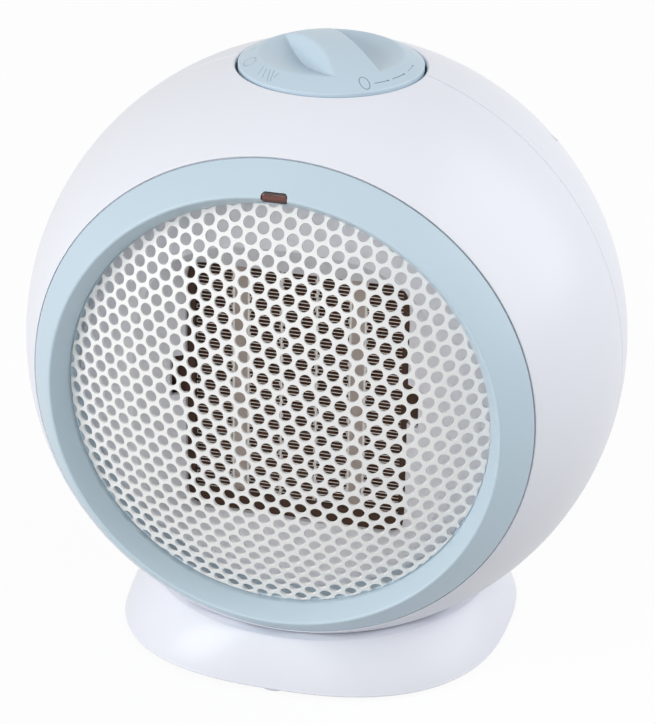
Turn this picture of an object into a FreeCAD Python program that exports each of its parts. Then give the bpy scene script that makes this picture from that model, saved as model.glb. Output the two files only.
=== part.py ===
import FreeCAD, Part
import math
import operator
import os
import Sketcher

# Ball-shaped ceramic fan heater on an oval base. Millimetres, +Z up, the outlet looks along -Y.
# Every piece is drawn round the ball's centre, then lifted so that the feet stand on Z = 0.
# A "reach" is a distance forward of the ball's centre, that is along -Y.

SIZES = {
    # ball
    "ball_radius": 115.0,
    "shell_wall": 2.4,
    "seam_chamfer": 0.35,
    "opening_sink": 51.4,
    "seat_gap": 0.3,
    # bezel ring
    "bezel_step": 0.4,
    "bezel_wall": 2.2,
    "bezel_joint_play": 0.3,
    "lip_inset": 11.0,
    "lip_rise": 13.0,
    "lip_round": 1.7,
    "lip_groove": 0.5,
    "throat_inset": 4.7,
    "throat_cover": 1.7,
    "ledge_width": 3.3,
    "ledge_wall": 1.6,
    # perforated dome
    "grille_rise": 9.7,
    "grille_crown_radius": 178.0,
    "grille_rim_gap": 0.9,
    "grille_sheet": 0.8,
    "perforation_pitch": 5.95,
    "perforation_width": 4.0,
    "perforation_margin": 2.8,
    "perforation_turn": 15.3,
    "perforation_shift_x": 2.8,
    "perforation_shift_z": 7.7,
    # pilot light
    "lens_width": 8.6,
    "lens_drop": 2.1,
    "lens_height": 5.6,
    "lens_corner": 1.2,
    "lens_length": 12.0,
    "lens_inset": 0.5,
    "lens_play": 0.2,
    "lamp_radius": 1.7,
    # baffle plate with its dish and window
    "baffle_sink": 8.6,
    "baffle_wall": 2.2,
    "baffle_edge_gap": 7.25,
    "flange_wall": 2.2,
    "flange_lap": 7.0,
    "dish_inset": 10.6,
    "dish_taper": 2.5,
    "dish_depth": 12.0,
    "window_margin": 3.0,
    "window_drop": 4.0,
    "notch_width": 5.0,
    "notch_height": 16.0,
    # heating core
    "frame_border": 10.0,
    "frame_depth": 16.0,
    "core_width": 80.0,
    "core_height": 96.0,
    "core_inset": 2.0,
    "bar_offset": 22.5,
    "bar_width": 5.0,
    "plate_sheet": 0.8,
    "fin_sheet": 0.3,
    "fin_pitch": 1.45,
    "divider_offset": 6.8,
    "fin_play": 0.1,
    "cutout_offset": 24.0,
    "cutout_radius": 6.5,
    "cutout_height": 6.0,
    "cutout_flange": 7.6,
    "cutout_flange_sheet": 1.0,
    "blade_width": 6.3,
    "blade_sheet": 0.8,
    "blade_length": 6.5,
    # fan and motor
    "shroud_bore": 56.0,
    "shroud_wall": 2.0,
    "shroud_flange_radius": 69.0,
    "shroud_length": 33.0,
    "post_clearance": 6.0,
    "post_height": 27.0,
    "post_radius": 4.2,
    "fan_tip_play": 2.5,
    "fan_gap": 7.0,
    "hub_radius": 14.0,
    "hub_length": 19.0,
    "hub_wall": 2.0,
    "blade_root_chord": 19.0,
    "blade_tip_chord": 30.0,
    "blade_root_pitch": 48.0,
    "blade_tip_pitch": 24.0,
    "blade_camber": 3.0,
    "fan_blade_sheet": 1.5,
    "fan_blade_count": 7,
    "bracket_sheet": 3.0,
    "bracket_arm": 7.0,
    "bracket_cup_wall": 2.5,
    "bracket_cup_length": 15.0,
    "motor_radius": 17.0,
    "motor_length": 32.0,
    "motor_boss_radius": 7.0,
    "motor_boss_length": 3.5,
    "motor_play": 0.15,
    "bush_radius": 4.0,
    "bush_length": 5.0,
    "bush_press": 0.03,
    "shaft_radius": 2.0,
    "shaft_play": 0.05,
    "shaft_tail": 1.5,
    # control knob
    "knob_radius": 35.3,
    "knob_gap": 0.9,
    "knob_crown_radius": 68.7,
    "knob_rim_lift": 0.35,
    "knob_skirt": 7.5,
    "knob_wall": 2.0,
    "knob_turn": 37.5,
    "grip_width": 13.1,
    "grip_draft": 4.0,
    "scoop_radius": 26.6,
    "scoop_sink": 3.2,
    "knob_hub_radius": 6.0,
    "well_depth": 11.3,
    "well_wall": 2.2,
    "spindle_radius": 3.0,
    "spindle_flat": 1.6,
    "spindle_play": 0.05,
    "spindle_grip": 7.5,
    "switch_bush_radius": 4.0,
    "switch_width": 28.0,
    "switch_depth": 24.0,
    "switch_height": 14.0,
    "switch_corner": 2.0,
    # air inlet and cord inlet at the back
    "slot_inner": 26.0,
    "slot_outer": 64.0,
    "slot_width": 3.8,
    "slot_count": 30,
    "gland_angle": 42.0,
    "gland_bore": 3.3,
    "gland_sleeve": 4.4,
    "gland_stem_radius": 5.9,
    "gland_play": 0.3,
    "gland_flange_radius": 8.5,
    "gland_flange": 1.8,
    "gland_collar": 9.5,
    # screws and their bosses
    "seam_boss_inset": 5.6,
    "seam_boss_radius": 5.4,
    "seam_boss_depth": 20.0,
    "screw_radius": 1.5,
    "screw_play": 0.05,
    "screw_pass": 0.3,
    "screw_head_radius": 3.1,
    "screw_head": 1.7,
    "screw_head_play": 0.6,
    "seam_screw_seat": 8.0,
    "seam_screw_grip": 16.0,
    "post_screw_grip": 11.0,
    "base_screw_x": 34.0,
    "base_screw_y": 30.0,
    "base_boss_radius": 4.4,
    "base_boss_height": 12.0,
    # base
    "base_stand": 1.4,
    "base_centre_reach": 3.5,
    "base_lip_height": 24.4,
    "base_lip_margin": 2.0,
    "base_ovality": 4.5,
    "base_waist_height": 12.0,
    "base_bulge": 6.0,
    "base_sole_flare": 3.0,
    "base_wall": 2.5,
    "base_bore": 40.0,
    "base_plate_sheet": 3.0,
    "base_plate_play": 0.3,
    "counterbore": 1.9,
    "foot_radius": 6.0,
    "foot_height": 1.6,
    "foot_inset": 7.2,
    "foot_stem_radius": 2.4,
    "foot_stem": 2.0,
    "foot_play": 0.05,
}

doc = FreeCAD.newDocument("CeramicFanHeater")
sheet = doc.addObject("Spreadsheet::Sheet", "Params")
for row, (alias, number) in enumerate(SIZES.items(), 1):
    sheet.set(f"A{row}", alias)
    sheet.set(f"B{row}", str(number))
    sheet.setAlias(f"B{row}", alias)
doc.recompute()

OPERATIONS = {"+": operator.add, "-": operator.sub, "*": operator.mul, "/": operator.truediv}


class Size:
    """A number kept together with the sheet formula that it comes from."""

    def __init__(self, formula, value):
        self.formula = formula
        self.value = value

    def __add__(self, other):
        return combine(self, "+", other)

    def __radd__(self, other):
        return combine(other, "+", self)

    def __sub__(self, other):
        return combine(self, "-", other)

    def __rsub__(self, other):
        return combine(other, "-", self)

    def __mul__(self, other):
        return combine(self, "*", other)

    def __rmul__(self, other):
        return combine(other, "*", self)

    def __truediv__(self, other):
        return combine(self, "/", other)

    def __neg__(self):
        return combine(-1, "*", self)


def as_size(number):
    return number if isinstance(number, Size) else Size(str(number), float(number))


def combine(left, sign, right):
    left = as_size(left)
    right = as_size(right)
    value = OPERATIONS[sign](left.value, right.value)
    return Size(f"({left.formula} {sign} {right.formula})", value)


def half_chord(radius, offset):
    """Half the chord of a circle at a distance from its centre."""
    radius = as_size(radius)
    offset = as_size(offset)
    value = math.sqrt(radius.value**2 - offset.value**2)
    return Size(f"sqrt({radius.formula}^2 - {offset.formula}^2)", value)


def diagonal(radius):
    """X or Z of a point on the 45 degree line at a radius."""
    return Size(f"({radius.formula} / sqrt(2))", radius.value / math.sqrt(2))


class Cells:
    """The sheet's cells by alias."""

    def __getattr__(self, alias):
        return Size(f"Params.{alias}", float(sheet.get(alias)))


p = Cells()
FOUR_CORNERS = ((1, 1), (-1, 1), (-1, -1), (1, -1))
NODES = []

# Places that several pieces share, all measured from the ball's centre.
BALL_INSIDE = p.ball_radius - p.shell_wall
OPENING_REACH = p.ball_radius - p.opening_sink
OPENING_RADIUS = half_chord(p.ball_radius, OPENING_REACH)
LIP_REACH = OPENING_REACH + p.lip_rise
LIP_RADIUS = OPENING_RADIUS - p.lip_inset
THROAT_RADIUS = LIP_RADIUS - p.throat_inset
GRILLE_APEX = LIP_REACH + p.grille_rise
GRILLE_CENTRE = GRILLE_APEX - p.grille_crown_radius
GRILLE_RIM = THROAT_RADIUS - p.grille_rim_gap
GRILLE_EDGE = GRILLE_CENTRE + half_chord(p.grille_crown_radius, GRILLE_RIM)
GRILLE_SEAT = GRILLE_CENTRE + half_chord(p.grille_crown_radius - p.grille_sheet, GRILLE_RIM)
LENS_LOW = LIP_RADIUS - p.lens_drop
LENS_MIDDLE = LENS_LOW + p.lens_height / 2
BAFFLE_REACH = OPENING_REACH - p.baffle_sink
BAFFLE_BACK = BAFFLE_REACH - p.baffle_wall
BAFFLE_RADIUS = half_chord(BALL_INSIDE, BAFFLE_REACH) - p.baffle_edge_gap
FLANGE_BORE = BAFFLE_RADIUS - p.flange_lap
DISH_RADIUS = THROAT_RADIUS - p.dish_inset
DISH_FLOOR = BAFFLE_REACH - p.dish_depth
WINDOW_WIDTH = p.core_width + 2 * p.window_margin
WINDOW_HEIGHT = p.core_height + 2 * p.window_margin
FRAME_WIDTH = p.core_width + 2 * p.frame_border
FRAME_HEIGHT = p.core_height + 2 * p.frame_border
CORE_FRONT = DISH_FLOOR - p.baffle_wall
CORE_BACK = CORE_FRONT - p.frame_depth
POST_OFFSET = FRAME_WIDTH / 2 + p.post_clearance
SHROUD_FLANGE_BACK = CORE_BACK - p.shroud_wall
SHROUD_BACK = CORE_BACK - p.shroud_length
BRACKET_BACK = SHROUD_BACK - p.bracket_sheet
FAN_FRONT = CORE_BACK - p.fan_gap
FAN_BACK = FAN_FRONT - p.hub_length
MOTOR_FRONT = SHROUD_BACK - p.motor_play
MOTOR_BACK = MOTOR_FRONT - p.motor_length
PLATE_FACE = p.bar_offset - p.bar_width / 2 - p.plate_sheet
KNOB_RIM = half_chord(p.ball_radius, p.knob_radius + p.knob_gap) + p.knob_rim_lift
KNOB_CROWN_CENTRE = KNOB_RIM - half_chord(p.knob_crown_radius, p.knob_radius)
KNOB_TOP = KNOB_CROWN_CENTRE + p.knob_crown_radius
SCOOP_RIM = KNOB_CROWN_CENTRE + half_chord(p.knob_crown_radius, p.scoop_radius)
SCOOP_FOOT = SCOOP_RIM - p.scoop_sink
WELL_FLOOR = KNOB_RIM - p.well_depth
WELL_BORE = p.knob_radius + p.knob_gap + p.seat_gap
WELL_OUTSIDE = WELL_BORE + p.well_wall
SWITCH_TOP = WELL_FLOOR - p.well_wall
SWITCH_BUSH_TOP = WELL_FLOOR + 3 * p.seat_gap
KNOB_HUB_FOOT = SWITCH_BUSH_TOP + p.seat_gap
SPINDLE_FOOT = SWITCH_TOP - p.switch_height / 2
SPINDLE_TOP = KNOB_HUB_FOOT + p.spindle_grip
SEAM_BOSS = diagonal(BALL_INSIDE - p.seam_boss_inset)
BASE_DROP = p.ball_radius + p.base_stand
BASE_PLATE_TOP = BASE_DROP - p.base_plate_sheet
COUNTERBORE_TOP = BASE_DROP - p.counterbore
BASE_LIP = BASE_DROP - p.base_lip_height
BASE_BALL = p.ball_radius + p.seat_gap
BASE_SADDLE = BASE_BALL + p.base_wall
BASE_LIP_WIDTH = half_chord(BASE_BALL, BASE_LIP) + p.base_lip_margin
BASE_SOLE_WIDTH = BASE_LIP_WIDTH + p.base_sole_flare
BASE_BOSS_TOP = half_chord(BALL_INSIDE, p.base_screw_x) - p.base_boss_height
BALL_Y = (GRILLE_APEX - p.ball_radius) / 2
BALL_Z = BASE_DROP + p.foot_height


def bind(item, **settings):
    """Sets properties, those given as a Size by an expression on the sheet."""
    for name, value in settings.items():
        if isinstance(value, Size):
            item.setExpression(name, value.formula)
        else:
            setattr(item, name, value)
    return item


def at(item, x=0, y=0, z=0):
    """Places a construction piece relative to the ball's centre."""
    for axis, value in zip("xyz", (x, y, z)):
        item.setExpression(f"Placement.Base.{axis}", as_size(value).formula)
    return item


def node(item, label):
    """Makes an item a finished sub-part, lifted from the ball's centre to its place above the floor."""
    item.Label = label
    at(item, 0, BALL_Y, BALL_Z)
    NODES.append(item)
    return item


def turn(item, axis, angle):
    item.Placement = FreeCAD.Placement(FreeCAD.Vector(), FreeCAD.Rotation(axis, angle.value))
    item.setExpression("Placement.Rotation.Angle", angle.formula)


def body(name):
    return doc.addObject("PartDesign::Body", f"{name}_body")


def sketch_on(owner, name, plane, lift):
    sketch = owner.newObject("Sketcher::SketchObject", name)
    support = [item for item in owner.Origin.OriginFeatures if item.Role == plane][0]
    sketch.AttachmentSupport = (support, [""])
    sketch.MapMode = "FlatFace"
    if lift is not None:
        sketch.setExpression("AttachmentOffset.Base.z", as_size(lift).formula)
    return sketch


def fix_point(sketch, edge, end, x, y):
    for kind, axis, value in (("DistanceX", -2, as_size(x)), ("DistanceY", -1, as_size(y))):
        if value.formula == "0":
            sketch.addConstraint(Sketcher.Constraint("PointOnObject", edge, end, axis))
            continue
        index = sketch.addConstraint(Sketcher.Constraint(kind, -1, 1, edge, end, value.value))
        sketch.setExpression(f"Constraints[{index}]", value.formula)


def fix_radius(sketch, edge, radius):
    index = sketch.addConstraint(Sketcher.Constraint("Radius", edge, abs(radius.value)))
    sketch.setExpression(f"Constraints[{index}]", f"abs({radius.formula})")


def bent_edge(start, finish, radius):
    """An arc between two points, its centre to the left of the way for a positive radius."""
    middle = (start + finish) * 0.5
    way = finish - start
    aside = FreeCAD.Vector(-way.y, way.x, 0).normalize()
    rise = math.sqrt(max(radius**2 - (way.Length / 2) ** 2, 0.0))
    centre = middle + aside * math.copysign(rise, radius)
    ends = (start, finish) if radius > 0 else (finish, start)
    angles = [math.atan2(point.y - centre.y, point.x - centre.x) for point in ends]
    circle = Part.Circle(centre, FreeCAD.Vector(0, 0, 1), abs(radius))
    return Part.ArcOfCircle(circle, *angles)


def outline(sketch, corners):
    """Adds a closed outline. A corner is (x, y), or (x, y, radius) where the edge that leaves it bends."""
    points = [FreeCAD.Vector(as_size(c[0]).value, as_size(c[1]).value, 0) for c in corners]
    edges = []
    for index, corner in enumerate(corners):
        start = points[index]
        finish = points[(index + 1) % len(points)]
        if len(corner) == 2:
            edge = sketch.addGeometry(Part.LineSegment(start, finish))
            edges.append((edge, 1, 2))
            continue
        edge = sketch.addGeometry(bent_edge(start, finish, corner[2].value))
        edges.append((edge, 1, 2) if corner[2].value > 0 else (edge, 2, 1))
    for index, (edge, start, finish) in enumerate(edges):
        following = edges[(index + 1) % len(edges)]
        sketch.addConstraint(Sketcher.Constraint("Coincident", edge, finish, following[0], following[1]))
    for (edge, start, finish), corner in zip(edges, corners):
        fix_point(sketch, edge, start, corner[0], corner[1])
        if len(corner) == 3:
            fix_radius(sketch, edge, corner[2])
    return sketch


def circle(sketch, x, y, radius):
    radius = as_size(radius)
    centre = FreeCAD.Vector(as_size(x).value, as_size(y).value, 0)
    edge = sketch.addGeometry(Part.Circle(centre, FreeCAD.Vector(0, 0, 1), radius.value))
    fix_point(sketch, edge, 3, x, y)
    fix_radius(sketch, edge, radius)
    return sketch


def rectangle(x, y, width, height):
    """Corners of a rectangle about its centre."""
    return [(x + sx * width / 2, y + sy * height / 2) for sx, sy in FOUR_CORNERS]


def rounded(x, y, width, height, radius):
    """Corners of a rectangle with rounded corners, counterclockwise."""
    left, right = x - width / 2, x + width / 2
    low, high = y - height / 2, y + height / 2
    return [
        (left + radius, low),
        (right - radius, low, radius),
        (right, low + radius),
        (right, high - radius, radius),
        (right - radius, high),
        (left + radius, high, radius),
        (left, high - radius),
        (left, low + radius, radius),
    ]


def revolve(owner, name, plane, corners, kind="Revolution"):
    """Turns an outline round the sketch's upright axis."""
    sketch = outline(sketch_on(owner, f"{name}_outline", plane, None), corners)
    feature = owner.newObject(f"PartDesign::{kind}", name)
    feature.Profile = sketch
    feature.ReferenceAxis = (sketch, ["V_Axis"])
    feature.Angle = 360
    return feature


def extrude(owner, name, sketch, length, kind="Pad", reverse=False, both=False):
    feature = owner.newObject(f"PartDesign::{kind}", name)
    feature.Profile = sketch
    feature.SideType = "Symmetric" if both else "One side"
    feature.Reversed = reverse
    bind(feature, Length=length)
    return feature


def circles(owner, name, plane, lift, centres, radius):
    sketch = sketch_on(owner, name, plane, lift)
    for x, y in centres:
        circle(sketch, x, y, radius)
    return sketch


def four(x, y):
    return [(sx * x, sy * y) for sx, sy in FOUR_CORNERS]


def pattern(owner, name, features, sketch, count):
    ring = owner.newObject("PartDesign::PolarPattern", name)
    ring.Originals = features
    ring.Axis = (sketch, ["N_Axis"])
    ring.Angle = 360
    bind(ring, Occurrences=count)
    owner.Tip = ring
    return ring


def box(name, width, depth, height, x, y, z):
    """A block from its middle in X and Y and its foot in Z."""
    item = bind(doc.addObject("Part::Box", name), Length=width, Width=depth, Height=height)
    return at(item, x - as_size(width) / 2, y - as_size(depth) / 2, z)


def rod(name, radius, height, x, y, z):
    """An upright cylinder from its foot."""
    item = bind(doc.addObject("Part::Cylinder", name), Radius=radius, Height=height)
    return at(item, x, y, z)


def ball(name, radius):
    return bind(doc.addObject("Part::Sphere", name), Radius=radius)


def joined(name, items):
    return bind(doc.addObject("Part::MultiFuse", name), Shapes=items)


def cut(name, base, tool):
    return bind(doc.addObject("Part::Cut", name), Base=base, Tool=tool)


def group(name, items):
    return bind(doc.addObject("Part::Compound", name), Links=items)


def trim_to_ball(owner):
    """Takes off what stands out of the ball's surface."""
    far = p.ball_radius * 1.4
    revolve(
        owner,
        f"{owner.Name}_trim",
        "XY_Plane",
        [
            (0, -p.ball_radius, p.ball_radius),
            (p.ball_radius, 0, p.ball_radius),
            (0, p.ball_radius),
            (0, far),
            (far, far),
            (far, -far),
            (0, -far),
        ],
        "Groove",
    )


def shell_bosses(owner, side):
    """Bosses for the base screws inside one half of the ball, side -1 in front and 1 behind."""
    spots = [(sx * p.base_screw_x, side * p.base_screw_y) for sx in (1, -1)]
    name = owner.Name
    boss = circles(owner, f"{name}_base_boss", "XY_Plane", -BASE_BOSS_TOP, spots, p.base_boss_radius)
    extrude(owner, f"{name}_base_bosses", boss, p.ball_radius - BASE_BOSS_TOP, reverse=True)


def shell_openings(owner, side):
    """The knob's hole, the hole over the base and the base screws' pilot holes in one half of the ball."""
    name = owner.Name
    top = circles(owner, f"{name}_knob_hole", "XY_Plane", None, [(0, 0)], p.knob_radius + p.knob_gap)
    extrude(owner, f"{name}_knob_opening", top, p.ball_radius, "Pocket", reverse=True)
    low = circles(owner, f"{name}_base_hole", "XY_Plane", None, [(0, 0)], p.base_bore - p.base_wall)
    extrude(owner, f"{name}_base_opening", low, p.ball_radius, "Pocket")
    spots = [(sx * p.base_screw_x, side * p.base_screw_y) for sx in (1, -1)]
    pilot = circles(
        owner,
        f"{name}_pilot",
        "XY_Plane",
        -(BASE_BOSS_TOP + p.base_wall),
        spots,
        p.screw_radius + p.screw_play,
    )
    extrude(owner, f"{name}_pilots", pilot, p.ball_radius, "Pocket")


def make_front_shell():
    """Front half of the ball with the seat flange of the baffle and the seam screws' bosses."""
    shell = body("front_shell")
    flange_back = BAFFLE_BACK - p.flange_wall
    revolve(
        shell,
        "front_shell_wall",
        "XY_Plane",
        [
            (OPENING_RADIUS, -OPENING_REACH, p.ball_radius),
            (half_chord(p.ball_radius, p.seam_chamfer), -p.seam_chamfer),
            (p.ball_radius - p.seam_chamfer, 0),
            (BALL_INSIDE, 0, -BALL_INSIDE),
            (half_chord(BALL_INSIDE, flange_back), -flange_back),
            (FLANGE_BORE, -flange_back),
            (FLANGE_BORE, -BAFFLE_BACK),
            (half_chord(BALL_INSIDE, BAFFLE_BACK), -BAFFLE_BACK, -BALL_INSIDE),
            (half_chord(BALL_INSIDE, OPENING_REACH), -OPENING_REACH),
        ],
    )
    spots = four(SEAM_BOSS, SEAM_BOSS)
    boss = circles(shell, "seam_boss", "XZ_Plane", None, spots, p.seam_boss_radius)
    extrude(shell, "seam_bosses", boss, p.seam_boss_depth)
    shell_bosses(shell, -1)
    trim_to_ball(shell)
    pilot = circles(shell, "seam_pilot", "XZ_Plane", None, spots, p.screw_radius + p.screw_play)
    depth = p.seam_screw_grip + p.screw_head
    extrude(shell, "seam_pilots", pilot, depth, "Pocket", reverse=True)
    shell_openings(shell, -1)
    return node(shell, "front_shell")


def make_rear_shell():
    """Rear half of the ball with the sunburst air inlet, the screw wells and the cord inlet's hole."""
    shell = body("rear_shell")
    revolve(
        shell,
        "rear_shell_wall",
        "XY_Plane",
        [
            (BALL_INSIDE, 0),
            (p.ball_radius - p.seam_chamfer, 0),
            (half_chord(p.ball_radius, p.seam_chamfer), p.seam_chamfer, p.ball_radius),
            (0, p.ball_radius),
            (0, BALL_INSIDE, -BALL_INSIDE),
        ],
    )
    spots = four(SEAM_BOSS, SEAM_BOSS)
    well = circles(shell, "screw_well", "XZ_Plane", None, spots, p.seam_boss_radius)
    extrude(shell, "screw_wells", well, p.ball_radius, reverse=True)
    shell_bosses(shell, 1)
    trim_to_ball(shell)
    access_radius = p.screw_head_radius + p.screw_head_play
    access = circles(shell, "screw_access", "XZ_Plane", -p.seam_screw_seat, spots, access_radius)
    extrude(shell, "screw_accesses", access, p.ball_radius, "Pocket")
    passing = circles(shell, "screw_pass", "XZ_Plane", None, spots, p.screw_radius + p.screw_pass)
    extrude(shell, "screw_passes", passing, p.ball_radius, "Pocket")
    shell_openings(shell, 1)
    slot = sketch_on(shell, "inlet_slot", "XZ_Plane", None)
    slot_middle = (p.slot_inner + p.slot_outer) / 2
    outline(slot, rectangle(0, slot_middle, p.slot_width, p.slot_outer - p.slot_inner))
    slot_cut = extrude(shell, "inlet_slot_cut", slot, p.ball_radius, "Pocket")
    pattern(shell, "inlet_slots", [slot_cut], slot, p.slot_count)
    hole = bind(
        doc.addObject("Part::Cylinder", "gland_hole"),
        Radius=p.gland_stem_radius + p.gland_play,
        Height=p.ball_radius * 1.2,
    )
    turn(hole, FreeCAD.Vector(-1, 0, 0), p.gland_angle + 90)
    return node(cut("rear_shell_cut", shell, hole), "rear_shell")


def make_bezel_ring():
    """Pale ring round the outlet, with a ledge for the dome's rim and a notch for the pilot light."""
    ring = body("bezel_ring")
    spigot = half_chord(BALL_INSIDE, OPENING_REACH) - p.bezel_joint_play
    ring_edge = OPENING_RADIUS - p.bezel_step
    shoulder = LIP_REACH - p.lip_round
    back = BAFFLE_REACH + p.seat_gap
    outer_lip = LIP_RADIUS + p.lip_round
    inner_lip = LIP_RADIUS - p.lip_round
    ledge_face = GRILLE_SEAT - p.seat_gap
    ledge_foot = ledge_face - p.ledge_wall
    ledge_bore = THROAT_RADIUS - p.ledge_width
    revolve(
        ring,
        "bezel_section",
        "XY_Plane",
        [
            (inner_lip, -shoulder, p.lip_round),
            (LIP_RADIUS, -LIP_REACH, p.lip_round),
            (outer_lip, -shoulder),
            (outer_lip + p.lip_groove, -(shoulder - p.lip_groove)),
            (outer_lip + 3 * p.lip_groove, -(shoulder - p.lip_groove), p.ball_radius),
            (ring_edge, -OPENING_REACH),
            (spigot, -OPENING_REACH),
            (spigot, -back),
            (spigot - p.bezel_wall, -back),
            (spigot - p.bezel_wall, -(OPENING_REACH + p.bezel_wall)),
            (outer_lip, -(shoulder - 2 * p.bezel_wall)),
            (LIP_RADIUS, -(shoulder - 2 * p.bezel_wall)),
            (THROAT_RADIUS + p.bezel_wall, -back),
            (THROAT_RADIUS, -back),
            (THROAT_RADIUS, -ledge_foot),
            (ledge_bore, -ledge_foot),
            (ledge_bore, -ledge_face),
            (THROAT_RADIUS, -ledge_face),
            (THROAT_RADIUS, -(GRILLE_EDGE + p.throat_cover)),
        ],
    )
    notch = sketch_on(ring, "lens_notch", "XZ_Plane", OPENING_REACH)
    width = p.lens_width + 2 * p.lens_play
    height = p.lens_height + 2 * p.lens_play
    outline(notch, rectangle(0, LENS_MIDDLE, width, height))
    extrude(ring, "lens_opening", notch, LIP_REACH, "Pocket", reverse=True)
    return node(ring, "bezel_ring")


def make_front_grille():
    """Pressed steel dome, perforated on a staggered grid that is turned a little, out to its cut rim."""
    dome = body("grille_dome")
    revolve(
        dome,
        "dome_section",
        "XY_Plane",
        [
            (0, -GRILLE_APEX, p.grille_crown_radius),
            (GRILLE_RIM, -GRILLE_EDGE),
            (GRILLE_RIM, -GRILLE_SEAT, p.grille_sheet - p.grille_crown_radius),
            (0, -(GRILLE_APEX - p.grille_sheet)),
        ],
    )
    pitch = p.perforation_pitch.value
    column_step = pitch * math.sqrt(3) / 2
    crown = p.grille_crown_radius.value
    limit = GRILLE_RIM.value - p.perforation_margin.value
    corner = p.perforation_width.value / math.sqrt(3)
    depth = GRILLE_APEX.value
    skew = math.radians(p.perforation_turn.value)
    half_count = int(limit / column_step) + 3
    prisms = []
    for column in range(-half_count, half_count + 1):
        across = column * column_step
        for row in range(-half_count, half_count + 1):
            along = (row + 0.5 * (column % 2)) * pitch
            flat_x = across * math.cos(skew) - along * math.sin(skew) + p.perforation_shift_x.value
            flat_z = across * math.sin(skew) + along * math.cos(skew) + p.perforation_shift_z.value
            out = math.hypot(flat_x, flat_z)
            pressed = crown * math.sin(out / crown)
            if pressed > limit:
                continue
            x = flat_x * pressed / out
            z = flat_z * pressed / out
            turns = [skew + math.radians(60 * k) for k in range(7)]
            ring = [FreeCAD.Vector(x + corner * math.cos(a), 0, z + corner * math.sin(a)) for a in turns]
            face = Part.Face(Part.makePolygon(ring))
            prisms.append(face.extrude(FreeCAD.Vector(0, -2 * depth, 0)))
    holes = doc.addObject("Part::Feature", "perforations")
    holes.Shape = Part.makeCompound(prisms)
    return node(cut("front_grille_cut", dome, holes), "front_grille")


def make_pilot_light():
    """Window in the bezel's lip and the glow lamp behind it."""
    lens = body("indicator_lens")
    front = LIP_REACH - p.lens_inset
    face = sketch_on(lens, "lens_face", "XZ_Plane", front - p.lens_length)
    outline(face, rounded(0, LENS_MIDDLE, p.lens_width, p.lens_height, p.lens_corner))
    extrude(lens, "lens_block", face, p.lens_length)
    lamp = body("indicator_lamp")
    bulb = circles(lamp, "lamp_face", "XZ_Plane", BAFFLE_REACH, [(0, LENS_MIDDLE)], p.lamp_radius)
    extrude(lamp, "lamp_bulb", bulb, front - p.lens_length - p.seat_gap - BAFFLE_REACH)
    return [node(lens, "indicator_lens"), node(lamp, "indicator_lamp")]


def make_front_baffle():
    """Plate behind the grille, dished round the window of the heating core, with the fan's posts."""
    plate = body("front_baffle")
    dish_inside = DISH_RADIUS - p.dish_taper
    revolve(
        plate,
        "baffle_section",
        "XY_Plane",
        [
            (0, -DISH_FLOOR),
            (0, -CORE_FRONT),
            (dish_inside + p.baffle_wall, -CORE_FRONT),
            (DISH_RADIUS + p.baffle_wall, -BAFFLE_BACK),
            (BAFFLE_RADIUS, -BAFFLE_BACK),
            (BAFFLE_RADIUS, -BAFFLE_REACH),
            (DISH_RADIUS, -BAFFLE_REACH),
            (dish_inside, -DISH_FLOOR),
        ],
    )
    spots = four(POST_OFFSET, p.post_height)
    post = circles(plate, "fan_post", "XZ_Plane", CORE_BACK, spots, p.post_radius)
    extrude(plate, "fan_posts", post, p.frame_depth)
    pilot = circles(plate, "post_pilot", "XZ_Plane", CORE_BACK, spots, p.screw_radius + p.screw_play)
    extrude(plate, "post_pilots", pilot, p.post_screw_grip + p.screw_play, "Pocket", reverse=True)
    half_width = WINDOW_WIDTH / 2
    half_height = WINDOW_HEIGHT / 2
    notch_edge = half_width + p.notch_width
    middle = -p.window_drop
    window = sketch_on(plate, "core_window", "XZ_Plane", None)
    outline(
        window,
        [
            (-half_width, middle - half_height),
            (half_width, middle - half_height),
            (half_width, middle - p.notch_height / 2),
            (notch_edge, middle - p.notch_height / 2),
            (notch_edge, middle + p.notch_height / 2),
            (half_width, middle + p.notch_height / 2),
            (half_width, middle + half_height),
            (-half_width, middle + half_height),
            (-half_width, middle + p.notch_height / 2),
            (-notch_edge, middle + p.notch_height / 2),
            (-notch_edge, middle - p.notch_height / 2),
            (-half_width, middle - p.notch_height / 2),
        ],
    )
    extrude(plate, "core_opening", window, BAFFLE_REACH, "Pocket", reverse=True)
    return node(plate, "front_baffle")


def fin_strip(left, right):
    """A folded strip between two plates: level runs joined by square folds."""
    half = p.fin_sheet.value / 2
    height = p.core_height.value - p.fin_sheet.value
    runs = int(height / p.fin_pitch.value) + 1
    step = height / (runs - 1)
    foot = -p.window_drop.value - height / 2
    ends = (left + half, right - half)
    line = [FreeCAD.Vector(ends[(k + end) % 2], 0, foot + step * k) for k in range(runs) for end in (0, 1)]
    ways = [(after - before).normalize() for before, after in zip(line, line[1:])]
    sides = [FreeCAD.Vector(-way.z, 0, way.x) * half for way in ways]
    shifts = [sides[0], *(before + after for before, after in zip(sides, sides[1:])), sides[-1]]
    ring = [spot + shift for spot, shift in zip(line, shifts)]
    ring += [spot - shift for spot, shift in reversed(list(zip(line, shifts)))]
    strip = Part.Face(Part.makePolygon(ring + ring[:1]))
    strip.translate(FreeCAD.Vector(0, p.core_inset.value - CORE_FRONT.value, 0))
    return strip.extrude(FreeCAD.Vector(0, p.frame_depth.value - 2 * p.core_inset.value, 0))


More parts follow.
